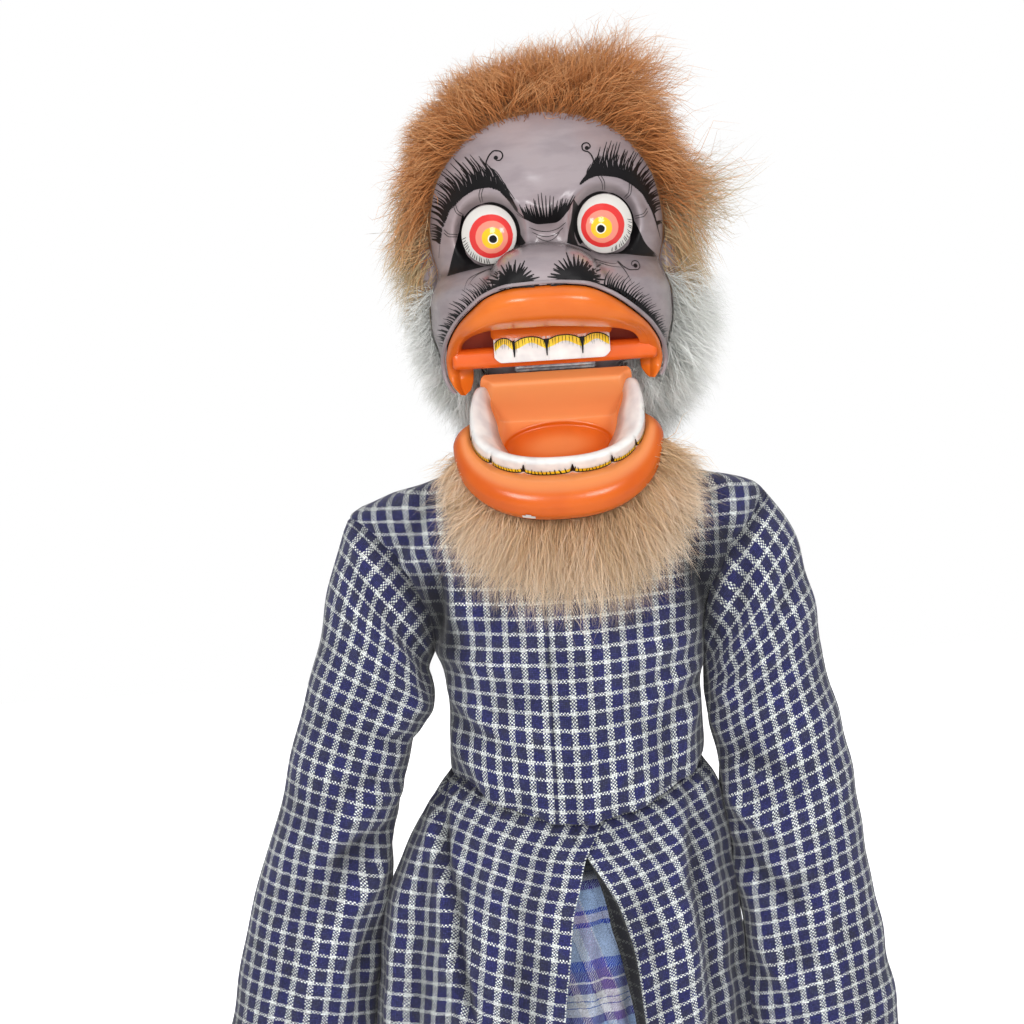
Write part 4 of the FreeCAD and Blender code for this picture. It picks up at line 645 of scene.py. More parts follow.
# Eye outlines, corner wedges, lashes and lid lines.
for hand, out in (("left", -1), ("right", 1)):
    middle = EYE_AT[hand]
    low, high = (78, 205) if out < 0 else (-25, 102)
    inner_arc = (100, -35) if out < 0 else (80, 215)
    for start, stop, thick in ((inner_arc[0], inner_arc[1], 2.0),
                               (inner_arc[0], inner_arc[0] + (90 if out < 0 else -90), 1.0)):
        ring = ring_points(middle, (13.1, 13.9), start, stop)
        stroke(ring, thick, (0.5, 1.0), 40)
    outer_edge = {-1: [(-37.4, 761.0), (-39.8, 752.2), (-43.5, 741.4), (-45.8, 734.2)],
                  1: [(36.8, 758.5), (40.1, 752.1), (43.8, 743.4), (50.4, 736.5)]}[out]
    white_edge = {-1: [(-36.6, 760.6), (-37.6, 752), (-37.0, 744.8), (-34.6, 740.2)],
                  1: [(36.0, 758.0), (37.4, 751), (37.0, 745.4), (34.8, 741.2)]}[out]
    fill(outer_edge, white_edge, 10, 40)
    crease_edge = {-1: [(-45.8, 734.2), (-38.3, 735.8), (-30.5, 737.2), (-22.6, 739.4)],
                   1: [(50.4, 736.5), (40.9, 737.9), (32.5, 739.3), (21.6, 741.0)]}[out]
    under_edge = {-1: [(-35.6, 742.0), (-32.4, 738.9), (-28.4, 737.6), (-22.6, 739.6)],
                  1: [(35.6, 742.6), (32.2, 740.2), (28.2, 739.6), (21.6, 741.2)]}[out]
    fill(crease_edge, under_edge, 8, 30)
    inner_edge = {-1: [(-15.6, 758.5), (-12.6, 752.1), (-9.8, 746.6)],
                  1: [(12.4, 764.6), (11.2, 756.5), (9.2, 749.5), (8.4, 745.4)]}[out]
    round_edge = {-1: [(-14.6, 758.5), (-13.6, 750.5), (-15.0, 744.6)],
                  1: [(14.8, 761.0), (12.2, 755.0), (12.0, 749.0), (13.4, 744.2)]}[out]
    fill(inner_edge, round_edge, 6, 24)
    fill([inner_edge[-1], {-1: (-13.0, 744.8), 1: (13.4, 743.6)}[out],
          {-1: (-17.6, 742.8), 1: (19.0, 741.0)}[out]],
         [round_edge[-1], {-1: (-16.0, 744.2), 1: (15.0, 743.8)}[out],
          {-1: (-17.6, 743.2), 1: (19.0, 741.4)}[out]], 3, 12)
    for pair in range(3):
        for offset in (0, 2.4):
            bearing = ((98, 140, 176) if out < 0 else (86, 44, 6))[pair] + offset * 1.6
            way = math.radians(bearing)
            near = (middle[0] + 14.0 * math.cos(way), middle[1] + 14.8 * math.sin(way))
            far = (middle[0] + 20.5 * math.cos(way + 0.1 * out), middle[1] + 21.5 * math.sin(way + 0.1 * out))
            bent = ((near[0] + far[0]) / 2 + 0.8 * out, (near[1] + far[1]) / 2 - 0.8)
            stroke([near, bent, far], 0.42, (0.6, 0.7))

# Scrolls under the eyes.
curl([(38.0, 733.9), (37.2, 733.4), (36.4, 734.0), (36.6, 735.2), (38.0, 735.8), (39.6, 735.0), (40.0, 733.2),
      (38.6, 731.8), (35.6, 731.9), (32.6, 733.6), (30.6, 736.0)], 0.4)
stroke([(20.6, 737.6), (24.6, 735.9), (29.2, 735.0), (30.8, 736.6)], 0.4)
stroke([(22.0, 736.0), (27.5, 734.0), (33.2, 733.0)], 0.4)
stroke([(30.0, 736.2), (33.2, 731.2), (35.4, 726.0)], 0.5)
stroke([(-24.2, 736.8), (-30.6, 735.0), (-36.4, 732.0), (-38.2, 727.4)], 0.45)
stroke([(-27.4, 736.0), (-33.0, 733.4), (-36.4, 729.4)], 0.35)

# Nostril tufts.
for middle, spans, reach in (((-16.4, 728.6), (196, -6), (11.8, 10.6)),
                             ((10.8, 729.0), (194, -14), (12.8, 11.6))):
    for layer, (count, share, thick) in enumerate(((19, 1.0, 1.9), (18, 0.8, 1.8), (13, 0.55, 2.0))):
        for number in range(count):
            bearing = math.radians(spans[0] + (spans[1] - spans[0]) * (number + 0.5 * (layer % 2))
                                   / (count - 1) + draw.uniform(-2.5, 2.5))
            long = share * (1 + draw.uniform(-0.12, 0.1))
            tip = (middle[0] + reach[0] * long * math.cos(bearing), middle[1] + reach[1] * long
                   * math.sin(bearing))
            root = (middle[0] + reach[0] * 0.25 * math.cos(bearing), middle[1] + reach[1] * 0.15
                    * math.sin(bearing))
            stroke([root, ((root[0] + tip[0]) / 2, (root[1] + tip[1]) / 2 + 0.3), tip], thick, (1.0, 0.2), 6)
    fill([(middle[0] - 6.5, middle[1] - 1.4), (middle[0], middle[1] - 1.0),
          (middle[0] + 6.5, middle[1] - 1.5)],
         [(middle[0] - 5.0, middle[1] + 2.4), (middle[0], middle[1] + 4.6),
          (middle[0] + 5.0, middle[1] + 2.4)], 4, 16)

# Whiskers above the lip and the line round it.
lip_left = [(-24.6, 726.8), (-30.6, 723.4), (-38.2, 717.4), (-44.4, 711.0), (-48.2, 704.6), (-49.8, 697.0),
            (-49.6, 690.0)]
lip_right = [(22.8, 725.8), (29.6, 722.6), (36.4, 716.4), (43.6, 708.6), (48.2, 701.0), (50.0, 694.0),
             (49.8, 690.6)]
hairs(lip_left, 40, (6.6, 7.6, 7.0, 5.6, 4.0, 2.6), (112, 132, 146, 158, 168, 176), 0.75, -0.25, 0.2)
hairs(lip_left[:5], 30, (4.2, 5.0, 4.4, 3.4), (100, 124, 140, 150), 1.0, -0.2, 0.25)
hairs(lip_right, 40, (6.6, 7.6, 7.0, 5.6, 4.0, 2.6), (68, 48, 34, 22, 12, 4), 0.75, 0.25, 0.2)
hairs(lip_right[:5], 30, (4.2, 5.0, 4.4, 3.4), (80, 56, 40, 30), 1.0, 0.2, 0.25)
rim = np.stack([outer[0], outer[1]], -1)
rim_away = rim - np.array([0, 690])
rim_away = rim_away / np.hypot(*rim_away.T)[:, None]
stroke((rim + rim_away * 0.35)[4:-4:6], 0.95, (1.0, 1.0), 160)


def on_face(x, z):
    """The height of the skin for paint, kept on the face where a line runs to its side."""
    half_width = head_section(z)[0]
    return skin_y(np.clip(x, 0.6 - half_width, half_width - 0.6), z, PAINT_LIFT)


paint_strips[:] = [strip for strip in paint_strips
                   if (np.abs(np.hstack(strip[:2])[0]) < head_section(np.hstack(strip[:2])[1])[0]
                       - 0.4).all()]
face_lines = painted("face_lines", on_face, black_paint, "rod_head")

# A raised grey bead runs round the lip outside its black line.
bead_path = (rim + rim_away * 1.55)[3:-3:2]
bead_y = skin_y(bead_path[:, 0], np.maximum(bead_path[:, 1], 688), 0.0)
bead_y = np.minimum(bead_y, np.interp(np.arange(len(bead_y)), np.arange(len(outer_y[3:-3:2])),
                                      outer_y[3:-3:2]) + 1.0)
bead_turn = np.linspace(0, 2 * math.pi, 12, endpoint=False)[None, :]
bead_out = rim_away[3:-3:2]
bead_grid = np.stack([bead_path[:, :1] + bead_out[:, :1] * np.cos(bead_turn),
                      bead_y[:, None] + 0.3 - 0.9 * np.sin(bead_turn),
                      bead_path[:, 1:] + bead_out[:, 1:] * np.cos(bead_turn)], -1)
surface("lip_bead", bead_grid, enamel, "rod_head", close_ends=(True, True),
        painted_light_and_shade=np.full(bead_grid[..., 0].size + 2, 0.12))

# Small lashes are painted on the outer lower rim of each eye.
for hand, out, low, high in (("left", -1, 186, 268), ("right", 1, -78, 4)):
    eye_x, eye_z = EYE_AT[hand]
    for number in range(15):
        bearing = math.radians(low + (high - low) * number / 14 + draw.uniform(-1.5, 1.5))
        ends = [(eye_x + size * math.cos(bearing + turn), eye_z + size * 1.06 * math.sin(bearing + turn))
                for size, turn in ((12.2, 0), (11.3, 0.02 * out),
                                   (10.3 + draw.uniform(-0.4, 0.4), 0.06 * out))]
        stroke(ends, 0.42, (1.0, 0.4), 6)


def on_eyes(x, z):
    """The front of whichever eye dome the place is on."""
    hand = np.where(x < 0, -1, 1)
    eye_x = np.where(x < 0, EYE_AT["left"][0], EYE_AT["right"][0])
    eye_z = np.where(x < 0, EYE_AT["left"][1], EYE_AT["right"][1])
    away = np.clip(np.hypot((x - eye_x) / EYE_RADII[0], (z - eye_z) / EYE_RADII[1]), 0, 1)
    return EYE_BASE_Y + hand * EYE_WRAP * (x - eye_x) - EYE_HEIGHT * (1 - away ** 2.2) - 0.15


painted("eye_lashes", on_eyes, black_paint, "rod_head")
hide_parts("head")

# Upper gum bar and teeth
# A bar carved with four broad teeth, let in across the mouth. The bar and the gum are orange, the
# teeth white, and fine black hatching over a yellow band marks where gum and tooth meet.

TOOTH_WHITE = "#EFEDE8"
# The bar, the gaps between its teeth in x, and the teeth's lower and upper edges.
BAR_FRONT_Y = -39.5
BAR_EDGES = (691.8, 701.2)
TOOTH_EDGES_X = (-27.0, -18.0, -3.4, 12.6, 25.0)
TOOTH_EDGES_Z = (693.9, 705.2)
TOOTH_PROUD = 3.4

orange_red = gloss_material("orange_red_gloss_enamel", "#E6681F", "#D55716")
white_paint = gloss_material("white_tooth_enamel", TOOTH_WHITE, "#DAD8D6", 0.2, scale=120.0)
yellow_paint = gloss_material("yellow_gum_paint", "#FFDC28", "#E8BC14", 0.3, scale=200.0)

bar_x = np.concatenate([[-45.9], np.linspace(-45, 45, 60), [45.9]])[:, None]
bar_turn = np.linspace(0, 2 * math.pi, 48, endpoint=False)[None, :]
bar_half = 0.5 * (BAR_EDGES[1] - BAR_EDGES[0])
bar_end = np.where(np.abs(bar_x) > 45.5, 0.85, 1.0)
bar_grid = np.stack([bar_x + 0 * bar_turn,
                     -34.2 + bar_end * 5.4 * power(np.cos(bar_turn), 0.75),
                     BAR_EDGES[0] + bar_half + bar_end * bar_half * power(np.sin(bar_turn), 0.62)], -1)
gum_bar = surface("gum_bar", bar_grid, orange_red, "rod_head", close_ends=(True, True))
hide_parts("upper_gum_bar")


def tooth_front(x, z):
    """How far forward the row of teeth and its gum stand: round across, and rounded off above and below."""
    across = np.clip(np.abs((x + 1.0) / 27.2), 0, 1) ** 5
    up = np.clip(np.abs((z - 701.2) / 8.4), 0, 1) ** 4.5
    grooves = sum(0.55 * np.exp(-((x - edge) / 0.7) ** 2) for edge in TOOTH_EDGES_X[1:4])
    low = np.where(z < 705, 1.0, 0.0)
    return (BAR_FRONT_Y - TOOTH_PROUD * (1 - across) ** 0.45 * (1 - up) ** 0.4 + grooves * low
            - 1.4 * (1 - (x / 30) ** 2))


def band_surface(name, low_z, high_z, left, right, material):
    """A raised band on the bar between two heights."""
    way_x = np.linspace(-1, 1, 140)[None, :]
    way_z = np.linspace(0, 1, 40)[:, None]
    x = (left + right) / 2 + (right - left) / 2 * way_x + 0 * way_z
    corner = np.clip((np.abs(way_x) - 0.86) / 0.14, 0, 1) ** 2
    bottom, top = low_z + 2.6 * corner, high_z - 0.6 * corner
    z = bottom + (top - bottom) * way_z
    y = tooth_front(x, z)
    grid = np.stack([x, y, z], -1)
    edge = grid.copy()
    edge[..., 1] = BAR_FRONT_Y + 3.0
    whole = np.concatenate([edge[:1], grid, edge[-1:]])
    return surface(name, whole, material, "rod_head", round_columns=False)


band_surface("upper_gum", 703.2, 709.6, -28.0, 26.2, orange)
band_surface("upper_teeth", TOOTH_EDGES_Z[0], TOOTH_EDGES_Z[1], TOOTH_EDGES_X[0], TOOTH_EDGES_X[-1],
             white_paint)


def on_teeth(x, z):
    """The front of the teeth or of the bar beside them, for paint."""
    return np.minimum(tooth_front(x, z), BAR_FRONT_Y - 1.0) - 0.2


gum_arches = []
for low_x, high_x in zip(TOOTH_EDGES_X, TOOTH_EDGES_X[1:]):
    way_x = np.linspace(0, 1, 16)
    across = low_x + 0.3 + (high_x - low_x - 0.6) * way_x
    arch = 702.6 + 2.3 * (1 - np.abs(2 * way_x - 1) ** 2.4)
    under = arch - 3.1 - 0.5 * np.sin(way_x * 9)
    fill(np.stack([across, under], -1), np.stack([across, arch], -1), 3, 16)
    gum_arches.append(np.stack([across, arch], -1))
painted("upper_gum_line", on_teeth, yellow_paint, "rod_head")
for arch_line in gum_arches:
    stroke(arch_line, 0.6, (0.8, 0.8), 24)
    for number in range(10):
        share = (number + 0.5) / 10
        x_at = np.interp(share, np.linspace(0, 1, 16), arch_line[:, 0])
        z_at = np.interp(share, np.linspace(0, 1, 16), arch_line[:, 1])
        long = draw.uniform(2.8, 5.2)
        stroke([(x_at, z_at), (x_at + draw.uniform(-0.35, 0.35), z_at - long / 2),
                (x_at + draw.uniform(-0.4, 0.4), z_at - long)], 0.34, (1.0, 0.2), 5)
for edge, top_width in zip(TOOTH_EDGES_X[1:4], (1.0, 2.6, 2.4)):
    fill([(edge - top_width / 2, 703.6), (edge - 0.5, 700.4), (edge - 0.2, 696.2)],
         [(edge + top_width / 2, 703.8), (edge + 0.6, 700.4), (edge + 0.2, 696.2)], 2, 14)
painted("upper_gum_hatching", lambda x, z: on_teeth(x, z) - 0.15, black_paint, "rod_head")

# Lower jaw
# A scoop carved from one block, drawn here about its hinge axis and turned down to where it hangs:
# a hollow bowl, a standing wall of broad teeth, and a thick rolled lip below them.

JAW_DROP = math.radians(46.0)
HINGE_AT = (0.0, -26.0, 690.0)
JAW_COLUMNS = 240
TEETH_REACH = 0.675 * math.pi
# Bearings of the lower teeth's sides, seen from above, 0 in front.
LOWER_EDGES = np.array([-0.655, -0.44, -0.264, -0.114, 0.033, 0.185, 0.334, 0.5, 0.655]) * math.pi
MARGIN_MM = -4.5


def dropped(points):
    """Points about the hinge axis, turned down with the open jaw and set at the hinge."""
    x, y, z = points[..., 0], points[..., 1], points[..., 2]
    return np.stack([x + HINGE_AT[0], y * math.cos(JAW_DROP) - z * math.sin(JAW_DROP) + HINGE_AT[1],
                     y * math.sin(JAW_DROP) + z * math.cos(JAW_DROP) + HINGE_AT[2]], -1)


def jaw_loop(turn, wide, front, back, middle=-30.0, square=2.35, shift=-1.2, rear=40.0):
    """A level outline of the jaw: turn is 0 in front and a half turn at the hinge."""
    along = np.cos(turn)
    reach = np.where(along > 0, middle - front, rear)
    return (shift * np.clip(along + 0.6, 0, 1) + wide * power(np.sin(turn), 2 / square),
            np.minimum(middle - reach * power(along, 2 / square), back))


def jaw_row(turn, wide, front, back, height, square=2.35, middle=-30.0, rear=40.0):
    """A level outline of the jaw at a height."""
    x, y = jaw_loop(turn, wide, front, back, middle, square, rear=rear)
    return np.stack([x, y, height + 0 * turn], -1)


jaw_turn = np.linspace(-math.pi, math.pi, JAW_COLUMNS, endpoint=False)
behind = eased(np.clip((np.abs(jaw_turn) - 0.63 * math.pi) / (0.08 * math.pi), 0, 1))
gum_level = -6.9 + 7.5 * behind
# The rolled lip dies out towards the hinge, where only the tooth wall and the back wall stand.
fade = eased(np.clip((np.abs(jaw_turn) / math.pi - 0.47) / 0.15, 0, 1))
slim = 37.2 + 3.6 * behind
low = -12.0 * fade * (1 - behind)


def roll(wide):
    """A width of the rolled lip, thinned behind to the jaw's plain wall."""
    return wide * (1 - fade) + slim * fade if wide > 37.2 else wide


# Outlines from the foot, out over the rolled lip, in over the gum and down into the bowl: half width,
# front, back and height.
jaw_rows = [
    jaw_row(jaw_turn, 4, -44, -36, -31.0, middle=-40),
    jaw_row(jaw_turn, 22, -56, -16, -30.0, middle=-36),
    jaw_row(jaw_turn, 34, -65, -8, -27.0, 2.2),
    jaw_row(jaw_turn, roll(41.5), -70, -5, -23.0),
    jaw_row(jaw_turn, roll(45.6), -73.4, -3.6, -18.5 + 0.3 * low),
    jaw_row(jaw_turn, roll(47.4), -75.0, -3.2, -14.0 + 0.5 * low),
    jaw_row(jaw_turn, roll(47.4), -74.4, -3.0, -10.0 + 0.7 * low),
    jaw_row(jaw_turn, roll(46.0), -72.0, -2.8, -6.8 * (1 - behind) - 1.6 * behind + 0.8 * low),
    jaw_row(jaw_turn, roll(43.8), -68.4, -2.6, -5.2 * (1 - behind) - 0.8 * behind + 0.8 * low),
    jaw_row(jaw_turn, roll(41.6), -63.6, -2.5, -5.0 * (1 - behind) - 0.2 * behind + 0.7 * low),
    jaw_row(jaw_turn, roll(39.9), -59.8, -2.4, -5.9 * (1 - behind) + 0.2 * behind + 0.5 * low),
    jaw_row(jaw_turn, roll(38.4), -57.0, -2.4, gum_level + 0.2 * low),
    jaw_row(jaw_turn, 36.6, -55.2, -6.6, gum_level),
    jaw_row(jaw_turn, 34.8, -53.0, -8.6, gum_level - 0.7),
    jaw_row(jaw_turn, 32.8, -49.5, -10.3, -8.5),
    jaw_row(jaw_turn, 30.4, -45.0, -11.0, -15.0, 2.3),
    jaw_row(jaw_turn, 28.6, -41.0, -12.0, -20.0, 2.2),
    jaw_row(jaw_turn, 26.6, -39.8, -12.6, -21.2, 2.15),
    jaw_row(jaw_turn, 24.6, -38.6, -13.4, -22.0, 2.0, -26.0, 12.6),
    jaw_row(jaw_turn, 23.0, -37.2, -14.4, -23.6, 2.0, -25.8, 11.4),
    jaw_row(jaw_turn, 12.0, -31.0, -20.0, -24.6, 2.0, -25.5, 5.5),
    jaw_row(jaw_turn, 2.0, -26.5, -24.5, -25.0, 2.0, -25.5, 1.0),
]
places = np.arange(len(jaw_rows))
fine = np.linspace(0, len(jaw_rows) - 1, 130)
stacked = np.stack(jaw_rows)
jaw_grid = np.stack([np.stack([flow(places, stacked[:, column, axis], fine) for column in range(JAW_COLUMNS)],
                              1) for axis in range(3)], -1)
jaw_enamel = gloss_material("jaw_orange_enamel", "#D8620F", "#CD560B")
tree = jaw_enamel.node_tree
shader = tree.nodes["Principled BSDF"]
# Painted light: the orange turns paler in a band on the rolled lip by the gum, as a painted highlight, and
# over the wall and floor of the bowl, as painted light inside the mouth.
painted_light_share = add(tree, "ShaderNodeAttribute", attribute_name="painted_light_and_shade").outputs["Fac"]
inside = add(tree, "ShaderNodeMix",
             {"Factor": painted_light_share, "A": shader.inputs["Base Color"].links[0].from_socket,
              "B": linear("#F0A064")}, data_type="RGBA")
tree.links.new(inside.outputs["Result"], shader.inputs["Base Color"])
row_painted_light = flow((0, 7.2, 8.8, 10.5, 11.6, 13, 16.5, 17.6, 18.4, 19.3, 20.4, 21),
                (0, 0, 0.65, 0.7, 0.6, 0.8, 0.9, 0.6, 0.0, 0.05, 0.55, 0.6), fine)
jaw_painted_light = row_painted_light[:, None] * np.where(fine[:, None] < 11, 1 - fade, 1.0)
jaw_skin = surface("lower_jaw_skin", dropped(jaw_grid)[:, ::-1], jaw_enamel, "jaw",
                   close_ends=(True, True), painted_light_and_shade=np.append(jaw_painted_light.ravel(), (0.0, 0.6)))
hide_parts("lower_jaw")


def tooth_top(turn):
    """The height of the tooth wall's edge, rounded down at its two ends."""
    share = np.clip(np.abs(turn) / TEETH_REACH, 0, 1)
    return -7.0 + (9.0 + 3.2 * np.clip((share - 0.6) / 0.35, 0, 1)) * (1 - share ** 14) ** 0.5


def scallop(turn):
    """How far each tooth's lower margin dips below the gum's level."""
    dip = np.zeros_like(turn)
    for low, high in zip(LOWER_EDGES, LOWER_EDGES[1:]):
        inside = (turn >= low) & (turn < high)
        share = np.clip((turn - low) / (high - low), 0, 1)
        dip = np.where(inside, 1.5 * (1 - np.abs(2 * share - 1) ** 2.2), dip)
    return dip


def tooth_face(turn, height, lift=0.0):
    """The outer face of the tooth wall at a bearing and a height."""
    swell = 0.7 * (1 - ((height + 2.5) / 6.0) ** 2)
    grooves = sum(0.7 * np.exp(-((turn - edge) / 0.022) ** 2) for edge in LOWER_EDGES[1:-1])
    out = np.clip(swell, -0.6, 1) - grooves + lift
    x, y = jaw_loop(turn, 38.6 + out, -57.2 - out, -3.2)
    return np.stack([x, y, height + 0 * turn], -1)


wall_turn = np.linspace(-TEETH_REACH, TEETH_REACH, 260)
top = tooth_top(wall_turn)
foot = -8.4 + 0 * wall_turn
wall_rows = [tooth_face(wall_turn, foot + (top - 0.8 - foot) * share) for share in np.linspace(0, 1, 10)]
# Over the wall's top and down its inside, which leans inwards at the sides.
for width, front, height in ((38.0, -56.6, -0.25), (37.2, -55.7, 0.0), (36.2, -54.7, -0.25),
                             (35.6, -54.0, -0.9), (34.9, -53.2, -4.0), (34.2, -52.4, -9.0),
                             (35.5, -54.0, -13.0)):
    lean = flow((0, 0.1, 0.18, 0.26, 0.36, 0.5, 0.6, 0.68), (0, 0, 3, 7, 9, 7.5, 3, 0.4),
                np.abs(wall_turn) / math.pi)
    lean = lean * {-4.0: 0.5, -9.0: 1.0, -0.9: 0.13}.get(height, 0)
    x, y = jaw_loop(wall_turn, width - lean, front, -4.6)
    wall_rows.append(np.stack([x, y, top + height], -1))
wall_grid = np.stack(wall_rows)
surface("lower_teeth", dropped(wall_grid)[:, ::-1], white_paint, "jaw", round_columns=False)


def on_jaw(name, strips, material, lift):
    """Paint on the tooth wall: strips of bearing and height edges, in one mesh."""
    share = np.linspace(0, 1, 3)[:, None]
    grids = [dropped(tooth_face(low_turn * (1 - share) + high_turn * share,
                                low_height * (1 - share) + high_height * share, lift))
             for low_turn, low_height, high_turn, high_height in strips]
    return paint_mesh(name, grids, material, "jaw")


yellow, black = [], []
for low, high in zip(LOWER_EDGES, LOWER_EDGES[1:]):
    turn = np.linspace(low + 0.01, high - 0.01, 40)
    margin = MARGIN_MM - scallop(turn)
    yellow.append((turn, margin - 0.1, turn, margin + 1.7))
    black.append((turn, margin - 0.7, turn, margin - 0.05))
    for number in range(12):
        at = low + (high - low) * (number + 0.5) / 12
        from_height = MARGIN_MM - float(scallop(np.array([at]))[0])
        long = draw.uniform(1.6, 3.0)
        side = 0.0055
        lean = draw.uniform(-0.012, 0.012)
        black.append((np.array([at - side, at - side + lean]), np.array([from_height, from_height + long]),
                      np.array([at + side, at + side * 0.2 + lean]),
                      np.array([from_height, from_height + long])))
for edge in LOWER_EDGES[1:-1]:
    height = np.linspace(-5.4, -0.6, 8)
    half = np.linspace(0.03, 0.004, 8)
    black.append((edge - half, height, edge + half, height))
on_jaw("lower_gum_line", yellow, yellow_paint, 0.22)
on_jaw("lower_gum_hatching", black, black_paint, 0.34)


def jaw_strip(name, low, high, low_turn, high_turn, material, lift=0.2):
    """A band of paint on the rolled lip between two level outlines, each width, front, back and height."""
    turn = np.linspace(low_turn, high_turn, 90)
    share = np.linspace(0, 1, 5)[:, None]
    sizes = [a * (1 - share) + b * share for a, b in zip(low, high)]
    x, y = jaw_loop(turn[None, :], sizes[0] + lift, sizes[1] - lift, sizes[2] + lift)
    grid = np.stack([x, y, sizes[3] + lift + 0 * x], -1)
    return surface(name, dropped(grid)[:, ::-1], material, "jaw", round_columns=False)


jaw_strip("lip_foot_line", (44.7, -72.5, -4, -19.9), (44.4, -72.3, -4, -20.5), -0.5 * math.pi, 0.5 * math.pi,
          black_paint)
jaw_strip("lip_chip", (47.0, -74.7, -3.5, -15.0), (46.3, -74.1, -3.7, -17.2), -0.32, -0.2, white_paint, 0.75)
jaw_strip("lip_chip_top", (47.3, -74.9, -3.5, -14.0), (46.9, -74.6, -3.6, -15.6), -0.285, -0.235,
          white_paint, 0.7)

# Hinge
# A small butt hinge of dull plated steel, screwed to the bar and the jaw's back wall.

steel, tree, shader = blank_material("dull_plated_steel")
spot = add(tree, "ShaderNodeTexCoord").outputs["Object"]
wear = add(tree, "ShaderNodeTexNoise", {"Vector": spot, "Scale": 260.0, "Detail": 3.0}).outputs["Fac"]
tree.links.new(ramp(tree, wear, (0.35, "#77757A"), (0.65, "#B4B3B4")), shader.inputs["Base Color"])
shader.inputs["Metallic"].default_value = 0.85
shader.inputs["Roughness"].default_value = 0.42
dress(["hinge_upper_leaf", "hinge_lower_leaf", "hinge_pin", "hinge_upper_screws", "hinge_lower_screws",
       "jaw_lever"], steel)

# Robe
# A jacket and skirt of hand-woven cotton, navy with cream checks, sewn with set-in sleeves and
# bloused over a yarn tie; the skirt's two flaps part in front. One layer, hemmed by hand.

NAVY = "#292B63"
NAVY_GREY = "#323454"
CREAM = "#DCE1DE"
THREAD_MM = 0.74
WARP_PITCH_MM = 8.1
WARP_BAND_MM = 2.96
WEFT_PITCH_MM = 6.6
WEFT_BAND_MM = 1.48


def maths(tree, operation, *values):
    """One sum on values or sockets."""
    return add(tree, "ShaderNodeMath", dict(enumerate(values)), operation=operation).outputs[0]


def woven(name, warp_colour, weft_colour, thread=THREAD_MM, warp_share=0.5):
    """Plain weave: thread over thread by turns, so that a crossing shows warp or weft. The two functions
    give each thread's colour from its place in millimetres."""
    made, tree, shader = blank_material(name)
    place = add(tree, "ShaderNodeSeparateXYZ",
                {"Vector": add(tree, "ShaderNodeUVMap", uv_map="cloth_mm").outputs["UV"]}).outputs
    flat = add(tree, "ShaderNodeUVMap", uv_map="cloth_mm").outputs["UV"]
    wander = add(tree, "ShaderNodeTexNoise", {"Vector": flat, "Scale": 0.35, "Detail": 2.0}).outputs["Fac"]
    across = maths(tree, "MULTIPLY_ADD", wander, 1.3, place["X"])
    along = maths(tree, "MULTIPLY_ADD", wander, 1.3, place["Y"])
    threads = [maths(tree, "FLOOR", maths(tree, "DIVIDE", value, thread)) for value in (across, along)]
    parity = maths(tree, "FRACT", maths(tree, "MULTIPLY", maths(tree, "ADD", *threads), warp_share))
    warp_up = maths(tree, "LESS_THAN", parity, warp_share - 0.01)
    warp = warp_colour(tree, across)
    weft = weft_colour(tree, along)
    mixed = add(tree, "ShaderNodeMix", {"Factor": warp_up, "A": weft, "B": warp},
                data_type="RGBA").outputs["Result"]
    crossing = add(tree, "ShaderNodeCombineXYZ", {"X": threads[0], "Y": threads[1]}).outputs["Vector"]
    slub = add(tree, "ShaderNodeTexWhiteNoise", {"Vector": crossing}).outputs["Value"]
    fuzz = add(tree, "ShaderNodeTexNoise", {"Vector": flat, "Scale": 0.09, "Detail": 3.0}).outputs["Fac"]
    shade = maths(tree, "ADD", maths(tree, "MULTIPLY_ADD", fuzz, 0.6, 0.35),
                  maths(tree, "MULTIPLY", slub, 0.6))
    rounds = [maths(tree, "SINE", maths(tree, "MULTIPLY", value, math.pi / thread))
              for value in (across, along)]
    relief = maths(tree, "MULTIPLY", *[maths(tree, "ABSOLUTE", value) for value in rounds])
    # The threads' round relief also darkens the colour between them, as painted shade, over the uneven tone.
    shade = maths(tree, "MULTIPLY", shade, maths(tree, "MULTIPLY_ADD", relief, 0.75, 0.5))
    toned = add(tree, "ShaderNodeMix", {"Factor": 1.0, "A": mixed, "B": shade}, data_type="RGBA",
                blend_type="MULTIPLY")
    # The piece's own painted light and shade, from its attribute, multiplies the colour.
    painted_light_and_shade = add(tree, "ShaderNodeAttribute", attribute_name="painted_light_and_shade").outputs["Fac"]
    shaded = add(tree, "ShaderNodeMix", {"Factor": 1.0, "A": toned.outputs["Result"], "B": painted_light_and_shade},
                 data_type="RGBA", blend_type="MULTIPLY")
    tree.links.new(shaded.outputs["Result"], shader.inputs["Base Color"])
    shader.inputs["Roughness"].default_value = 0.9
    shader.inputs["Sheen Weight"].default_value = 0.15
    bump = add(tree, "ShaderNodeBump", {"Height": relief, "Strength": 0.35, "Distance": 0.00025})
    tree.links.new(bump.outputs["Normal"], shader.inputs["Normal"])
    return made


def striped(pitch, band, base, stripe):
    """Threads of one colour, dyed unevenly, with a band of another at every pitch."""
    def colour(tree, place):
        uneven = add(tree, "ShaderNodeTexNoise",
                     {"Vector": add(tree, "ShaderNodeUVMap", uv_map="cloth_mm").outputs["UV"], "Scale": 0.12,
                      "Detail": 1.0}).outputs["Fac"]
        ground = ramp(tree, uneven, (0.4, base), (0.68, NAVY_GREY if base == NAVY else base))
        share = maths(tree, "FRACT", maths(tree, "DIVIDE", place, pitch))
        inside = maths(tree, "LESS_THAN", share, band / pitch)
        return add(tree, "ShaderNodeMix", {"Factor": inside, "A": ground, "B": linear(stripe)},
                   data_type="RGBA").outputs["Result"]
    return colour


check_cloth = woven("navy_check_cotton", striped(WARP_PITCH_MM, WARP_BAND_MM, NAVY, CREAM),
                    striped(WEFT_PITCH_MM, WEFT_BAND_MM, NAVY, "#E2E6E4"))


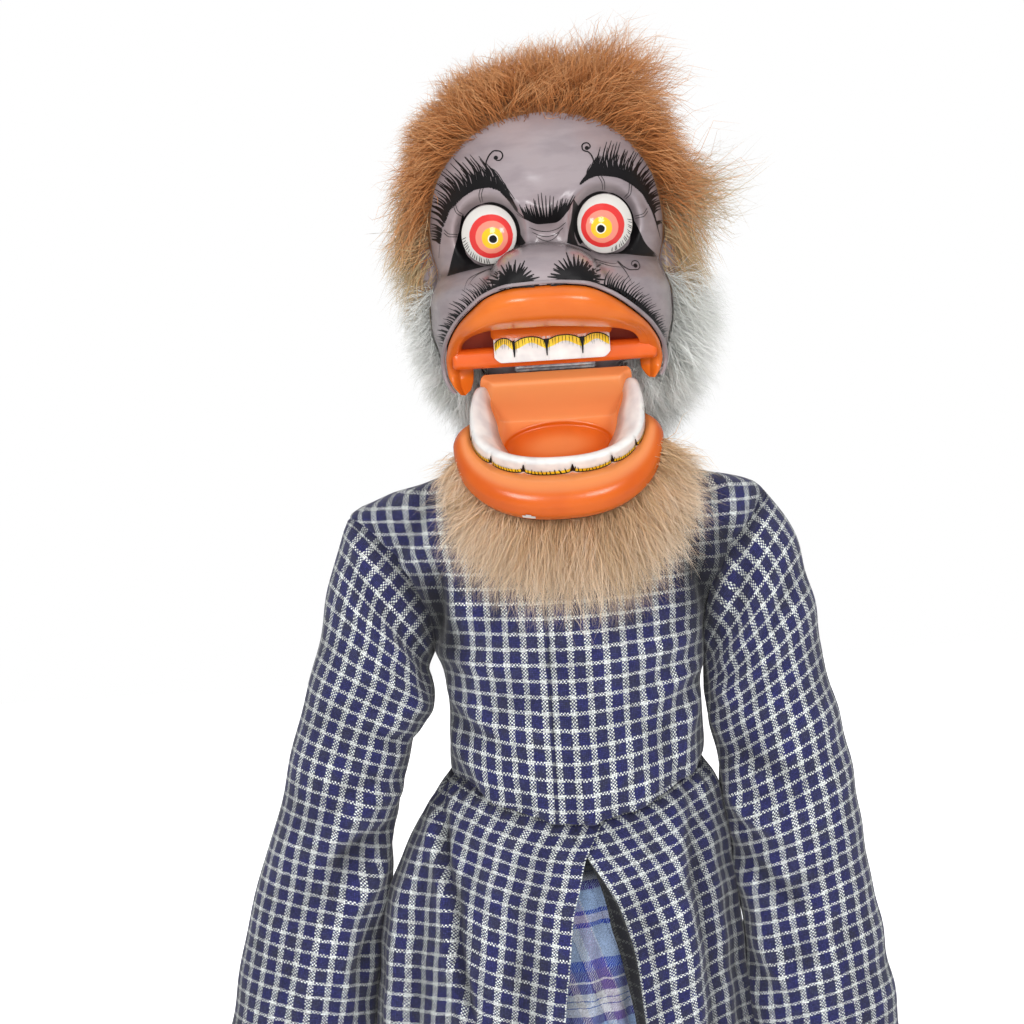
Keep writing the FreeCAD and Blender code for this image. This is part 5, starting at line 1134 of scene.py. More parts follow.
def lengths(grid, axis):
    """Distances along a grid's rows (axis 1) or columns (axis 0), adding up from zero."""
    steps = np.linalg.norm(np.diff(grid, axis=axis), axis=-1)
    zero = np.zeros_like(steps[:1]) if axis == 0 else np.zeros_like(steps[:, :1])
    return np.concatenate([zero, np.cumsum(steps, axis)], axis)


def crease(x, z, *lines):
    """Folds as soft ridges along straight runs: each is x and z of both ends, a width and a height."""
    total = np.zeros(np.broadcast(x, z).shape)
    for ax, az, bx, bz, width, height in lines:
        long = math.hypot(bx - ax, bz - az)
        along = ((x - ax) * (bx - ax) + (z - az) * (bz - az)) / long ** 2
        off = ((x - ax) * (bz - az) - (z - az) * (bx - ax)) / long
        bow = off - 0.06 * long * np.sin(math.pi * np.clip(along, 0, 1))
        ends = np.clip(np.sin(math.pi * np.clip(along, 0, 1)), 0, 1) ** 0.7
        total = (total + height * ends
                 * (np.exp(-(bow / width) ** 2) - 0.45 * np.exp(-((bow - 1.7 * width) / width) ** 2)))
    return total


def rumple(across, along, seed, size=34.0, height=0.7):
    """Gentle unevenness of cloth: a few long waves in seeded directions."""
    chance = np.random.default_rng(seed)
    total = np.zeros(np.broadcast(across, along).shape)
    for _ in range(9):
        way, phase = chance.uniform(0, math.pi), chance.uniform(0, 6.28)
        wave = size * chance.uniform(0.5, 1.8)
        total = total + np.sin((across * math.cos(way) + along * math.sin(way)) * 6.28 / wave + phase)
    return height * total / 3


def pushed(grid, amount, away_from):
    """The grid moved along its own normals, outwards from a middle line in x and y."""
    first = np.gradient(grid, axis=1)
    second = np.gradient(grid, axis=0)
    normal = np.cross(first, second)
    normal /= np.maximum(np.linalg.norm(normal, axis=-1, keepdims=True), 1e-9)
    out = grid - away_from
    turned = np.sign((normal * out).sum(-1, keepdims=True))
    return grid + normal * turned * amount[..., None]


# The robe's body from inside the tie, out over its blouse and up to the neck: height, half width and
# half depth.
BODY_ROWS = ((505, 50, 38.5), (507.0, 54, 41), (505.5, 57.0, 43.5), (508, 58.8, 45), (514, 59.2, 45.5),
             (524, 58.8, 45), (538, 58.6, 44), (550, 60.2, 43.4), (562, 64.0, 42.6), (575, 67.4, 41.5),
             (590, 73, 39.5), (602, 80, 37), (612, 87.5, 34), (620, 93, 31), (626, 96.5, 28), (630.4, 92, 26),
             (634, 80, 24.5), (638, 67, 24), (642, 54, 23), (645.4, 38, 22.5), (647.6, 29, 21.5),
             (648.6, 26.4, 20.4), (646, 25, 19.6))
body_rows = np.array(BODY_ROWS, float)
ROBE_ROWS, ROBE_COLUMNS = 240, 340
index = np.arange(len(body_rows))
fine = np.linspace(0, len(body_rows) - 1, ROBE_ROWS)
body_z, body_wide, body_deep = (flow(index, body_rows[:, column], fine)[:, None] for column in range(3))
turn = np.linspace(-math.pi, math.pi, ROBE_COLUMNS)[None, :]
squareness = 2.25
x = body_wide * power(np.sin(turn), 2 / squareness) - 2.5 * np.clip((body_z - 600) / 24, 0, 1)
y = -2.0 - body_deep * power(np.cos(turn), 2 / squareness)
in_front = np.clip(0.3 + 0.9 * np.cos(turn), 0, 1)
middle_share = (1 - np.clip(np.abs(x + 1) / 62, 0, 1) ** 1.5) * in_front
droop = 22.0 * middle_share
z = body_z - droop * np.clip((570 - body_z) / 60, 0, 1) ** 1.6
body_grid = np.stack([x, y, z + 0 * turn], -1)
front = np.clip(np.cos(turn) * 3, 0, 1)
folds = (crease(x, z, (-66, 560, -60, 604, 4.0, -3.4), (-64, 552, -30, 524, 4.0, 2.4),
                (-62, 540, -44, 502, 4.0, 2.2), (-63, 565, -28, 556, 3.6, 1.5), (64, 560, 56, 604, 4.5, -3.4),
                (63, 552, 26, 530, 4.0, 2.4), (61, 542, 44, 506, 4.0, 2.4), (62, 566, 22, 552, 3.6, 1.6),
                (-14, 496, -34, 530, 3.5, 1.3), (10, 494, 30, 528, 3.5, 1.3), (74, 604, 60, 640, 4.0, -2.2),
                (-82, 604, -62, 636, 4.0, -2.0)) * front)
folds += (1.3 * np.sin(x / 3.4 + 0.9 * np.sin(x / 9.0)) * np.exp(-np.clip(body_z - 506, 0, 99) / 13.0)
          * (fine[:, None] > 2))
folds += crease(x, z, (-12, 650, -16, 488, 0.8, -0.8)) * front
folds += (rumple(x, z, 5, 40.0, 0.75) * np.clip((fine[:, None] - 3) / 3, 0, 1)
          * np.clip((19 - fine[:, None]) / 3, 0, 1))
body_grid = pushed(body_grid, folds, np.stack([0 * x, 0 * x, z], -1))
flat_grid = np.stack([x, y, z + 0 * turn], -1)
body_u = lengths(flat_grid, 1)
body_u = body_u - body_u[:, ROBE_COLUMNS // 2:ROBE_COLUMNS // 2 + 1]
seam_x = -10.4 - 1.6 * (650 - z) / 162
body_u = body_u + np.where((x > seam_x) & (np.cos(turn) > 0), 3.3, 0.0)
line_droop = middle_share * flow((480, 495, 515, 540, 566, 600, 650), (12, 11, 9, 5.5, 3, 1, 0), z)
depth_path = steps_along(body_rows[4:, (0, 2)])
body_v = np.where(z < body_rows[4, 0], z + line_droop - body_rows[4, 0],
                  np.interp(z + line_droop, body_rows[4:-1, 0], depth_path[:-1]))
# Painted light and shade in the cloth's colour: lighter on the folds' ridges and darker in their troughs,
# dark in the armpits, at the sides below the chest and inside the tie. The seam is a dark line.
armpit_shade = 0.82 * np.exp(-((x + 59 + 0.22 * (z - 578)) / 8) ** 4 - ((z - 577) / 22) ** 4)
armpit_shade = armpit_shade + 0.72 * np.exp(-((x - 62 - 0.1 * (z - 585)) / 15) ** 4 - ((z - 591) / 24) ** 4)
body_light_and_shade = np.clip(1 + 0.16 * np.minimum(folds, 0.8), 0.3, 1.08) * (1 - armpit_shade * (np.cos(turn) > 0))
body_light_and_shade = body_light_and_shade * (1 - 0.6 * np.exp(-((x - seam_x) / 0.9) ** 2) * (np.cos(turn) > 0))
body_light_and_shade = (body_light_and_shade * (1 - 0.6 * np.clip((np.abs(x) / body_wide - 0.8) / 0.2, 0, 1) * (z < 600))
             * np.where(fine[:, None] < 1.5, 0.3, 1.0))
robe = surface("robe_body_cloth", body_grid, check_cloth, "torso", round_columns=False,
               uv=np.stack([body_u, body_v], -1), painted_light_and_shade=body_light_and_shade)
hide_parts("robe_body")


def on_robe(x, z, lift):
    """How far the robe's front lies from its middle plane at a place, and a lift off it."""
    rows = slice(4, 18)
    wide_here = flow(body_rows[rows, 0], body_rows[rows, 1], z)
    deep_here = flow(body_rows[rows, 0], body_rows[rows, 2], z)
    share = np.clip(np.abs(x + 2.5 * np.clip((z - 600) / 24, 0, 1)) / wide_here, 0, 0.9995)
    return deep_here * (1 - share ** squareness) ** (1 / squareness) + lift


# Each sleeve from the shoulder to the hem: x and z of its outlines seen from the front, its half
# depth, and its folds as crease takes them.
LEFT_OUTER = ((-96.6, 627.2), (-104.4, 612.5), (-110.2, 594), (-117.3, 571), (-125, 545), (-136, 510),
              (-147, 475), (-160, 437), (-172, 393), (-179, 366))
LEFT_INNER = ((-63, 563), (-67.5, 553), (-66.3, 543), (-67.8, 535), (-77, 521), (-85.5, 494), (-91, 462),
              (-96, 424), (-102, 378), (-106, 350))
RIGHT_OUTER = ((93.0, 626.5), (102.5, 612.5), (109.0, 593.5), (112.8, 575.5), (116.4, 552), (122.2, 520),
               (128.2, 485), (133, 441), (140, 392), (143, 362))
RIGHT_INNER = ((60, 553), (60, 544), (60, 536), (61, 528), (62, 515), (64.5, 492), (67, 466), (70, 430),
               (71.5, 382), (72, 352))
SLEEVE_DEPTH = (23, 25, 26.5, 27.5, 28, 28.5, 29, 29.5, 30, 30.5)
LEFT_FOLDS = ((-70, 543, -103, 590, 4.2, 2.6), (-66, 532, -104, 566, 4.2, 2.4),
              (-72, 516, -104, 530, 4.5, -1.6), (-80, 500, -116, 486, 4.6, 2.6),
              (-86, 484, -122, 462, 5.0, -2.8), (-90, 468, -116, 436, 5.0, 2.6),
              (-96, 446, -108, 398, 5.0, -2.2), (-98, 622, -84, 592, 4.0, 1.4),
              (-118, 440, -136, 388, 6.0, 1.4))
RIGHT_FOLDS = ((64, 546, 96, 590, 4.2, 2.6), (62, 532, 98, 562, 4.2, 2.4), (66, 512, 96, 500, 4.5, -1.8),
               (64, 490, 98, 468, 4.6, 2.4), (68, 468, 100, 436, 5.0, -2.6), (74, 440, 92, 396, 5.0, 2.2),
               (94, 618, 84, 588, 4.0, 1.6), (88, 604, 76, 566, 4.0, -2.4), (106, 450, 112, 392, 6.0, 1.4))
SLEEVE_ROWS, SLEEVE_COLUMNS = 260, 200
SLEEVE_SPLITS = (58, 115)


def sleeve(hand, outer_line, inner_line, folds, seed):
    """A tube whose rings run from the outer to the inner line, turned in at the hem."""
    count = np.arange(len(outer_line))
    at = np.concatenate([np.linspace(0, len(outer_line) - 1, SLEEVE_ROWS), [len(outer_line) - 1] * 3])
    a = np.stack([flow(count, [p[axis] for p in outer_line], at) for axis in (0, 1)], -1)
    b = np.stack([flow(count, [p[axis] for p in inner_line], at) for axis in (0, 1)], -1)
    depth = flow(count, SLEEVE_DEPTH, at)[:, None]
    depth[-3:] -= np.array([0.5, 1.6, 2.0])[:, None]
    middle, half = (a + b) / 2, (a - b) / 2
    shrink = np.ones(len(at))
    shrink[-3:] = (0.985, 0.95, 0.94)
    half = half * shrink[:, None]
    middle[-1, 1] += 9.0
    turn = np.linspace(0, 2 * math.pi, SLEEVE_COLUMNS)[None, :]
    across, along = power(np.cos(turn), 0.92), power(np.sin(turn), 0.92)
    grid = np.stack([middle[:, :1] + half[:, :1] * across, -depth * along - 1, middle[:, 1:]
                     + half[:, 1:] * across], -1)
    toward = -np.sign(middle[:1, :1])
    join = np.exp(-(at[:, None] / 0.55) ** 2)
    bow = 9.0 * np.sin(turn) ** 2 * join
    grid[..., 0] += toward * 0.9 * bow
    grid[..., 2] += 0.43 * bow
    x, z = grid[..., 0], grid[..., 2]
    side = -np.sign(np.sin(turn)) * on_robe(x, z, -1.5) - 2.0
    settle = np.exp(-(at[:, None] / 0.22) ** 2) * np.clip(np.abs(np.sin(turn)) * 6, 0, 1)
    grid[..., 1] += settle * (side - grid[..., 1])
    flat_grid = grid.copy()
    facing = np.clip(0.35 + np.sin(turn), 0, 1)
    inside = (at < len(outer_line) - 1.001)[:, None]
    amount = ((1.5 * crease(x, z, *folds) * facing + rumple(np.cos(turn) * 34 + 0 * z, z, seed, 46.0, 0.9))
              * inside)
    amount = (amount + 0.5 * np.sin(np.sin(turn) * 9 + z / 4)
              * np.exp(-((x - middle[:, :1] + np.sign(middle[:, :1]) * 22) / 14) ** 2) * inside)
    amount = amount * np.clip(at[:, None] / 0.25, 0, 1)
    grid = pushed(grid, amount, np.stack([middle[:, :1] + 0 * x, 0 * x, middle[:, 1:] + 0 * x], -1))
    # Painted light and shade: lighter on the folds' ridges, darker in their troughs, in the armpit and on the
    # side towards the body; darker at the sleeve's head by its seam, partly as painted shade.
    pit_shade = np.exp(-((np.abs(x) - 63) / 11) ** 2 - ((z - 566) / 24) ** 2)
    painted_light_and_shade = np.clip(1 + 0.15 * np.minimum(amount, 0.8), 0.3, 1.08) * (1 - 0.6 * pit_shade)
    painted_light_and_shade = (painted_light_and_shade * (1 - 0.45 * np.clip((-np.cos(turn) - 0.75) / 0.25, 0, 1))
            * (1 - 0.75 * np.exp(-((at[:, None] - 0.1) / 0.2) ** 2) * np.clip(1.6 - (z - 560) / 60, 0.2, 1)))
    u = lengths(flat_grid, 1)
    u = u - u[:, SLEEVE_COLUMNS // 4:SLEEVE_COLUMNS // 4 + 1]
    v = lengths(flat_grid, 0)
    v = 0.25 * (v - v[SLEEVE_ROWS // 2:SLEEVE_ROWS // 2 + 1]) + 0.75 * (v.mean(1, keepdims=True) + 0 * v)
    # One cloth in three bands: the sleeve's head, its top and the rest down to the hem.
    order = slice(None) if hand == "left" else slice(None, None, -1)
    head, top, made = (
        surface(hand + name, grid[low:high, order], check_cloth, None, round_columns=False,
                uv=np.stack([u, v], -1)[low:high, order], painted_light_and_shade=painted_light_and_shade[low:high, order])
        for name, low, high in (("_sleeve_head", 0, SLEEVE_SPLITS[0] + 1),
                                ("_sleeve_top", SLEEVE_SPLITS[0], SLEEVE_SPLITS[1] + 1),
                                ("_sleeve", SLEEVE_SPLITS[1], len(at))))
    for band, low, high, first, second, long in (
            (head, 0, SLEEVE_SPLITS[0], "torso", hand + "_shoulder", 0.03),
            (top, *SLEEVE_SPLITS, hand + "_shoulder", hand + "_upper", 0.04)):
        ring = high if low else 0
        across_ring = a[ring] - b[ring]
        normal = np.array([across_ring[1], -across_ring[0]]) * (1 if hand == "right" else -1)
        normal = normal / np.linalg.norm(normal)
        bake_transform(band)
        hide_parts(hand + "_upper_sleeve")
    arm_way = np.array([middle[-4, 0] - middle[20, 0], 0, middle[-4, 1] - middle[20, 1]])
    arm_way = arm_way / np.linalg.norm(arm_way)
    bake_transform(made)
    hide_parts(hand + "_upper_sleeve", hand + "_lower_sleeve")


sleeve("left", LEFT_OUTER, LEFT_INNER, LEFT_FOLDS, 11)
sleeve("right", RIGHT_OUTER, RIGHT_INNER, RIGHT_FOLDS, 23)

# Skirt of the robe
# Two flaps of the same cloth, gathered under the tie, flaring to the hem and parting in front.

# Heights of the skirt, and at each its reach to the left and right and its half depth; then heights of
# the opening, and at each the edges of the two flaps, which lie over each other at the top.
SKIRT_AT = (514, 506, 497, 489, 479, 457, 432, 400, 350, 303)
SKIRT_LEFT = (-53, -58, -66, -73, -80, -91, -97, -101, -106, -110)
SKIRT_RIGHT = (53, 56, 60.5, 63, 64.5, 66.5, 68, 69.5, 72, 75)
SKIRT_DEEP = (36, 38.5, 42.5, 46, 49, 53.5, 57, 60, 63, 66)
FRONT_AT = (500, 489, 478, 468, 455, 443, 421, 395, 340, 285)
GAP_LEFT = (16, 11, 5.5, -0.4, -4, -7.5, -10.5, -14.3, -19, -23)
GAP_RIGHT = (-22, -15.5, -5.3, 0.8, 8.6, 13.6, 19, 21, 27, 33)
SKIRT_DROOP_MM = 19.0
SKIRT_ROWS, SKIRT_COLUMNS = 200, 440
at = np.linspace(0, len(SKIRT_AT) - 1, SKIRT_ROWS)
at = np.concatenate([at, [at[-1]] * 3])
count = np.arange(len(SKIRT_AT))
skirt_z, skirt_l, skirt_r, skirt_d = (
    flow(count, values, at)[:, None] for values in (SKIRT_AT, SKIRT_LEFT, SKIRT_RIGHT, SKIRT_DEEP))
gap_l, gap_r = (flow(FRONT_AT[::-1], values[::-1], skirt_z - SKIRT_DROOP_MM)
                for values in (GAP_LEFT, GAP_RIGHT))
half_wide, middle_x = (skirt_r - skirt_l) / 2, (skirt_r + skirt_l) / 2
skirt_power = 2 / 2.15
turn_l = np.arcsin(power(np.clip((gap_l - middle_x) / half_wide, -0.99, 0.99), 1 / skirt_power))
turn_r = np.arcsin(power(np.clip((gap_r - middle_x) / half_wide, -0.99, 0.99), 1 / skirt_power))
share = np.linspace(0, 1, SKIRT_COLUMNS)[None, :]
turn = turn_r + (2 * math.pi + turn_l - turn_r) * share
growing = np.clip((505 - skirt_z) / 120, 0, 1.3)
hem_in = np.zeros((len(at), 1))
hem_in[-3:, 0] = (0.6, 1.6, 2.2)
tuck = 2.6 * np.exp(-share / 0.05) * (1 - growing * 0.6)
half_now = half_wide - hem_in - tuck
deep_now = skirt_d - hem_in - tuck
x = middle_x + half_now * power(np.sin(turn), skirt_power)
y = -3.0 - deep_now * power(np.cos(turn), skirt_power)
lift = np.zeros((len(at), 1))
lift[-1] = 8.0
skirt_fall = (1 - np.clip(np.abs(x + 1) / 62, 0, 1) ** 1.5) * np.clip(0.3 + 0.9 * np.cos(turn), 0, 1)
skirt_grid = np.stack([x, y, skirt_z - SKIRT_DROOP_MM * skirt_fall + lift], -1)
flat_grid = skirt_grid.copy()
wave = ((2.6 * np.sin(turn * 9 + 1.1 * np.sin(turn * 2.0) + 0.4) + 1.7 * np.sin(turn * 17 + 1.3))
        * growing ** 0.8)
near_gap = np.exp(-share / 0.03) + np.exp(-(1 - share) / 0.03)
amount = wave * (1 - 0.7 * near_gap) + 1.2 * np.sin(turn * 46) * np.exp(-np.clip(506 - skirt_z, 0, 99) / 12)
fall_z = skirt_grid[..., 2]
amount = (amount + crease(x, fall_z, (-64, 500, -58, 440, 3.0, -4.2), (-60, 462, -50, 380, 3.0, -4.2),
                          (-52, 380, -46, 290, 3.6, -3.6), (-36, 488, -44, 400, 5.0, 1.8),
                          (52, 500, 60, 400, 5, -2.4), (28, 478, 50, 392, 5.0, 1.8))
          * np.clip(np.cos(turn) * 3, 0, 1))
amount = amount + rumple(turn * 60, skirt_z + 0 * turn, 31, 44.0, 0.8)
skirt_grid = pushed(skirt_grid, amount, np.stack([middle_x + 0 * x, 0 * x, fall_z], -1))
u = lengths(flat_grid, 1)
u = np.where(share < 0.5, u, u - u[:, -1:])
v = lengths(flat_grid, 0).mean(1, keepdims=True) + 0 * u
# Painted light and shade: lighter on the folds' ridges, darker in their troughs, dark just under the tie
# where the blouse overhangs, and darker at the sides.
skirt_light_and_shade = (np.clip(1 + 0.14 * np.minimum(amount, 0.8), 0.3, 1.08)
              * (1 - 0.7 * np.exp(-np.clip(504 - skirt_z, 0, 99) / 5.0)))
skirt_light_and_shade = skirt_light_and_shade * (1 - 0.6 * np.clip((np.abs(x - middle_x) / half_wide - 0.88) / 0.12, 0, 1))
skirt_cloth = surface("robe_skirt_cloth", skirt_grid, check_cloth, "torso",
                      round_columns=False, uv=np.stack([u, v], -1), painted_light_and_shade=skirt_light_and_shade)
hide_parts("robe_skirt")

# The right flap's front edge is turned back inwards and shows its wrong side, painted dark as shade.
facing_z = np.linspace(470, 290, 60)[:, None]
facing_x = flow(FRONT_AT[::-1], GAP_RIGHT[::-1], facing_z)
facing_wide = flow((290, 340, 395, 417, 434, 443, 452, 470), (7, 6, 4.4, 6.4, 7.4, 6.2, 4.6, 0.6), facing_z)
facing_y = -3.0 - np.interp(facing_z, np.array(SKIRT_AT[::-1]) - SKIRT_DROOP_MM, SKIRT_DEEP[::-1])
inward = np.linspace(1, 0, 10)[None, :]
facing_grid = np.stack([facing_x - facing_wide * inward + 0.8, facing_y + 1.5 + 6.5 * inward ** 0.7,
                        facing_z + 0 * inward], -1)
facing = surface("right_flap_facing", facing_grid[::-1], check_cloth, "torso",
                 round_columns=False, uv=np.stack([lengths(facing_grid, 1), lengths(facing_grid, 0)], -1),
                 painted_light_and_shade=0.07 + 0 * facing_grid[..., 0])

# Sarong and tie
# A fine cotton plaid wrapped once round under the robe, pale blue and white with royal blue,
# purple and lilac stripes. The tie is a twist of yellow cotton.

# Where each colour of the plaid starts, as a share of its repeat.
WARP_BANDS = ((0.0, "#5A6E9A"), (0.018, "#F2F2F4"), (0.135, "#B8A0CC"), (0.305, "#FAFAFC"),
              (0.332, "#A6C2EA"), (0.53, "#5A6E9A"), (0.548, "#B2CAEE"), (0.7, "#F4F5FA"), (0.82, "#A6C2EA"))
WEFT_BANDS = ((0.0, "#A6C2EC"), (0.15, "#1F40C4"), (0.183, "#C6C6E6"), (0.24, "#1F40C4"), (0.275, "#B2C8EA"),
              (0.52, "#1C42C8"), (0.6, "#4038A4"), (0.675, "#F0F0F6"), (0.69, "#4A2F96"), (0.765, "#E6E8EC"),
              (0.815, "#3D4FB0"), (0.823, "#E6E8EC"), (0.862, "#3D4FB0"), (0.87, "#E4E6F2"),
              (0.93, "#46309A"))


def plaid(bands, repeat):
    """Bands of several colours repeated across the cloth."""
    def colour(tree, place):
        share = maths(tree, "FRACT", maths(tree, "DIVIDE", place, repeat))
        banded = ramp(tree, share, *bands)
        banded.node.color_ramp.interpolation = "CONSTANT"
        return banded
    return colour


plaid_cloth = woven("sarong_plaid_cotton", plaid(WARP_BANDS, 34.0), plaid(WEFT_BANDS, 62.0), 0.36, 0.334)
sarong_way = np.linspace(0, 1, 150)[:, None]
turn = np.linspace(-math.pi, math.pi, 260)[None, :]
sarong_z = 488 - sarong_way * 297
wide = 51 + 14 * sarong_way ** 0.7
deep = 36 + 11 * sarong_way ** 0.7
flute = ((3.0 * np.sin(turn * 11 + 0.8 * np.sin(3 * turn)) + 1.6 * np.sin(turn * 23 + 2))
         * np.clip(sarong_way * 3, 0, 1))
flute = (flute + crease(wide * np.sin(turn), sarong_z + 0 * turn, (-4, 478, 12, 300, 4.0, 3.6),
                        (10, 478, 30, 300, 4.0, -3.0)))
x = -10.8 * sarong_way + (wide + flute) * np.sin(turn)
y = -(deep + flute) * np.cos(turn)
sarong_grid = np.stack([x, y, sarong_z + 0 * turn], -1)
hem_row = sarong_grid[-1:] * np.array([0.975, 0.965, 1.0])
sarong_grid = np.concatenate([sarong_grid, hem_row, hem_row + [[[0, 0, 8.0]]]])
smooth = np.stack([-10.8 * sarong_way + wide * np.sin(turn), -deep * np.cos(turn), sarong_z + 0 * turn], -1)
u = lengths(smooth, 1)
u = np.concatenate([u, u[-1:], u[-1:]])
u = u - u[:, u.shape[1] // 2][:, None]
z = sarong_grid[..., 2]
u = u - 10.8 * np.concatenate([sarong_way, sarong_way[-1:], sarong_way[-1:]]) + 5.6 + 0.35 * (z - 420)
v = 452.0 - z + 0.1 * sarong_grid[..., 0]
# Painted shade: the cloth is dark at its top, where the robe's opening shades it, and a little darker below.
sarong_shade = np.clip((461 - sarong_grid[..., 2]) / 12, 0.1, 0.82)
sarong_made = surface("sarong_cloth", sarong_grid, plaid_cloth, "torso", round_columns=False,
                      uv=np.stack([u, v], -1), painted_light_and_shade=sarong_shade)
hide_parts("sarong")

tie_turn = np.linspace(0, 2 * math.pi, 300, endpoint=False)[None, :]
strand = np.linspace(0, 2 * math.pi, 14, endpoint=False)[:, None]
rope = 3.0 + 0.35 * np.cos(strand * 3 + tie_turn * 60)
tie_low = 492.0 - 4.0 * np.cos(tie_turn)
tie_grid = np.stack([(51.5 + rope * np.cos(strand)) * np.sin(tie_turn), -(38.0 + rope * np.cos(strand))
                     * np.cos(tie_turn) - 1, tie_low + rope * np.sin(strand)], -1)
tie_grid = np.concatenate([tie_grid, tie_grid[:1]])
yarn, tree, shader = blank_material("yellow_cotton_yarn")
shader.inputs["Base Color"].default_value = linear("#CDB064")
shader.inputs["Roughness"].default_value = 0.9
tie_made = surface("waist_tie_yarn", tie_grid, yarn, "torso")
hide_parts("waist_tie")
dress(["left_shoulder_loop", "right_shoulder_loop"], yarn)

# Hands
# Turned forearms and carved hands in one piece each, painted the same grey as the face.

dress(["left_forearm", "right_forearm"], enamel)

# Hair
# Goat fur on its own hide, dyed red-brown and left blond at the sides, glued and tacked over the
# crown. It springs up in front and hangs behind the ears.

HIDE_LIFT_MM = 1.0
HAIR_WIDTH_MM, NAPE_WIDTH_MM, BEARD_WIDTH_MM = 0.3, 0.27, 0.25
SKULL_Z_MM = 765
HAIR_COUNT, NAPE_COUNT, BESIDE_COUNT, BEARD_COUNT = 26000, 26000, 2600, 27500


def fur_material(name, root, body_colour, tip, other):
    """Along each hair from root to tip (U), drawn towards another colour by the hair's own share (V)."""
    made, tree, shader = blank_material(name)
    place = add(tree, "ShaderNodeSeparateXYZ",
                {"Vector": add(tree, "ShaderNodeUVMap", uv_map="cloth_mm").outputs["UV"]}).outputs
    along = ramp(tree, place["X"], (0.0, root), (0.45, body_colour), (1.0, tip))
    mixed = add(tree, "ShaderNodeMix", {"Factor": place["Y"], "A": along, "B": linear(other)},
                data_type="RGBA")
    tree.links.new(mixed.outputs["Result"], shader.inputs["Base Color"])
    shader.inputs["Roughness"].default_value = 0.55
    shader.inputs["Specular IOR Level"].default_value = 0.25
    return made


def unit(vectors):
    """The vectors at length one."""
    return vectors / np.maximum(np.linalg.norm(vectors, axis=-1, keepdims=True), 1e-9)


def combed_paths(chance, roots, ways, long, sag, wave, clumps, pull, tousle=0.3, steps=5):
    """Points along each hair, which leaves on its way, sags, wanders and draws towards its lock; and the
    number of the hair that leads the lock."""
    count = len(roots)
    leaders = chance.choice(count, clumps, replace=False)
    ways = ways.copy()
    ways[leaders] = unit(ways[leaders] + chance.normal(size=(clumps, 3)) * tousle)
    s = np.linspace(0, 1, steps)[None, :, None]
    reach = long[:, None, None]
    side = unit(np.cross(ways, unit(chance.normal(size=(count, 3)))))[:, None]
    phase = chance.uniform(0, 6.28, (count, 1, 1))
    path = roots[:, None] + ways[:, None] * reach * s
    path = path + np.array([0, 0, -1.0]) * sag[:, None, None] * reach * s ** 2
    path = path + side * (wave * reach * (np.sin(s * 5.6 + phase) - np.sin(phase)) * s)
    near = np.empty(count, int)
    for first in range(0, count, 2000):
        gap = np.linalg.norm(roots[first:first + 2000, None] - roots[leaders][None], axis=-1)
        near[first:first + 2000] = leaders[gap.argmin(1)]
    drawn = (pull * chance.uniform(0.4, 1.0, count))[:, None, None] * s ** 1.3
    return path * (1 - drawn) + path[near] * drawn, near


def fur(name, paths, width, shares, hide, material, body, seed):
    """Hairs as flat tapering ribbons along their paths, with the hide under them as one mesh."""
    chance = np.random.default_rng(seed)
    count, steps = paths.shape[:2]
    forward = unit(np.gradient(paths, axis=1))
    edge = unit(np.cross(forward, unit(chance.normal(size=(count, 1, 3)))))
    taper = (np.array([1.0, 0.95, 0.8, 0.5, 0.0])[None, :, None]
             * (width * chance.uniform(0.7, 1.2, count))[:, None, None] / 2)
    left, right = paths - edge * taper, paths + edge * taper
    points = np.concatenate([np.stack([left[:, :-1], right[:, :-1]], 2).reshape(count, -1, 3), paths[:, -1:]],
                            1)
    each = points.shape[1]
    quads = [(2 * k, 2 * k + 1, 2 * k + 3, 2 * k + 2) for k in range(steps - 2)]
    tip = (each - 3, each - 2, each - 1)
    start = (np.arange(count) * each)[:, None]
    faces = ([row for quad in quads for row in (start + np.array(quad)).tolist()]
             + (start + np.array(tip)).tolist())
    along = np.repeat(np.linspace(0, 1, steps), 2)[:each]
    uv = np.stack([np.broadcast_to(along, (count, each)), np.broadcast_to(shares[:, None], (count, each))],
                  -1)
    points, uv = points.reshape(-1, 3), uv.reshape(-1, 2)
    rows, columns = hide.shape[:2]
    base = len(points)
    here = base + np.arange(rows * columns).reshape(rows, columns)
    faces += corners_of(here).reshape(-1, 4).tolist()
    points = np.concatenate([points, hide.reshape(-1, 3)])
    uv = np.concatenate([uv, np.tile([[0.0, 0.2]], (rows * columns, 1))])
    made = piece(name, points * MM, faces, material, body)
    corner = np.empty(len(made.data.loops), np.int32)
    made.data.loops.foreach_get("vertex_index", corner)
    made.data.uv_layers.new(name="cloth_mm").data.foreach_set("uv", uv[corner].astype(np.float32).ravel())
    return made


def scalp(angle, z, lift):
    """A place on the head, or off it along the way outwards from the middle of the skull."""
    half_width, front, back, middle, square = head_section(z)
    across, along = np.sin(angle), np.cos(angle)
    spot = np.stack([half_width * power(across, 2 / square),
                     middle - np.where(along > 0, front, back) * power(along, 2 / square), z + 0 * angle], -1)
    outward = unit((spot - np.array([0, -3, 745.0])) / np.array([1.0, 1.0, 1.25]))
    return spot + outward * lift, outward


# Where the hair starts: bearings from the front, and heights.
HAIRLINE_AT = np.radians((0, 25, 45, 60, 72, 80, 88, 100, 125, 180))
HAIRLINE_MM = (800, 797, 789, 777, 762, 745, 727, 718, 714, 714)
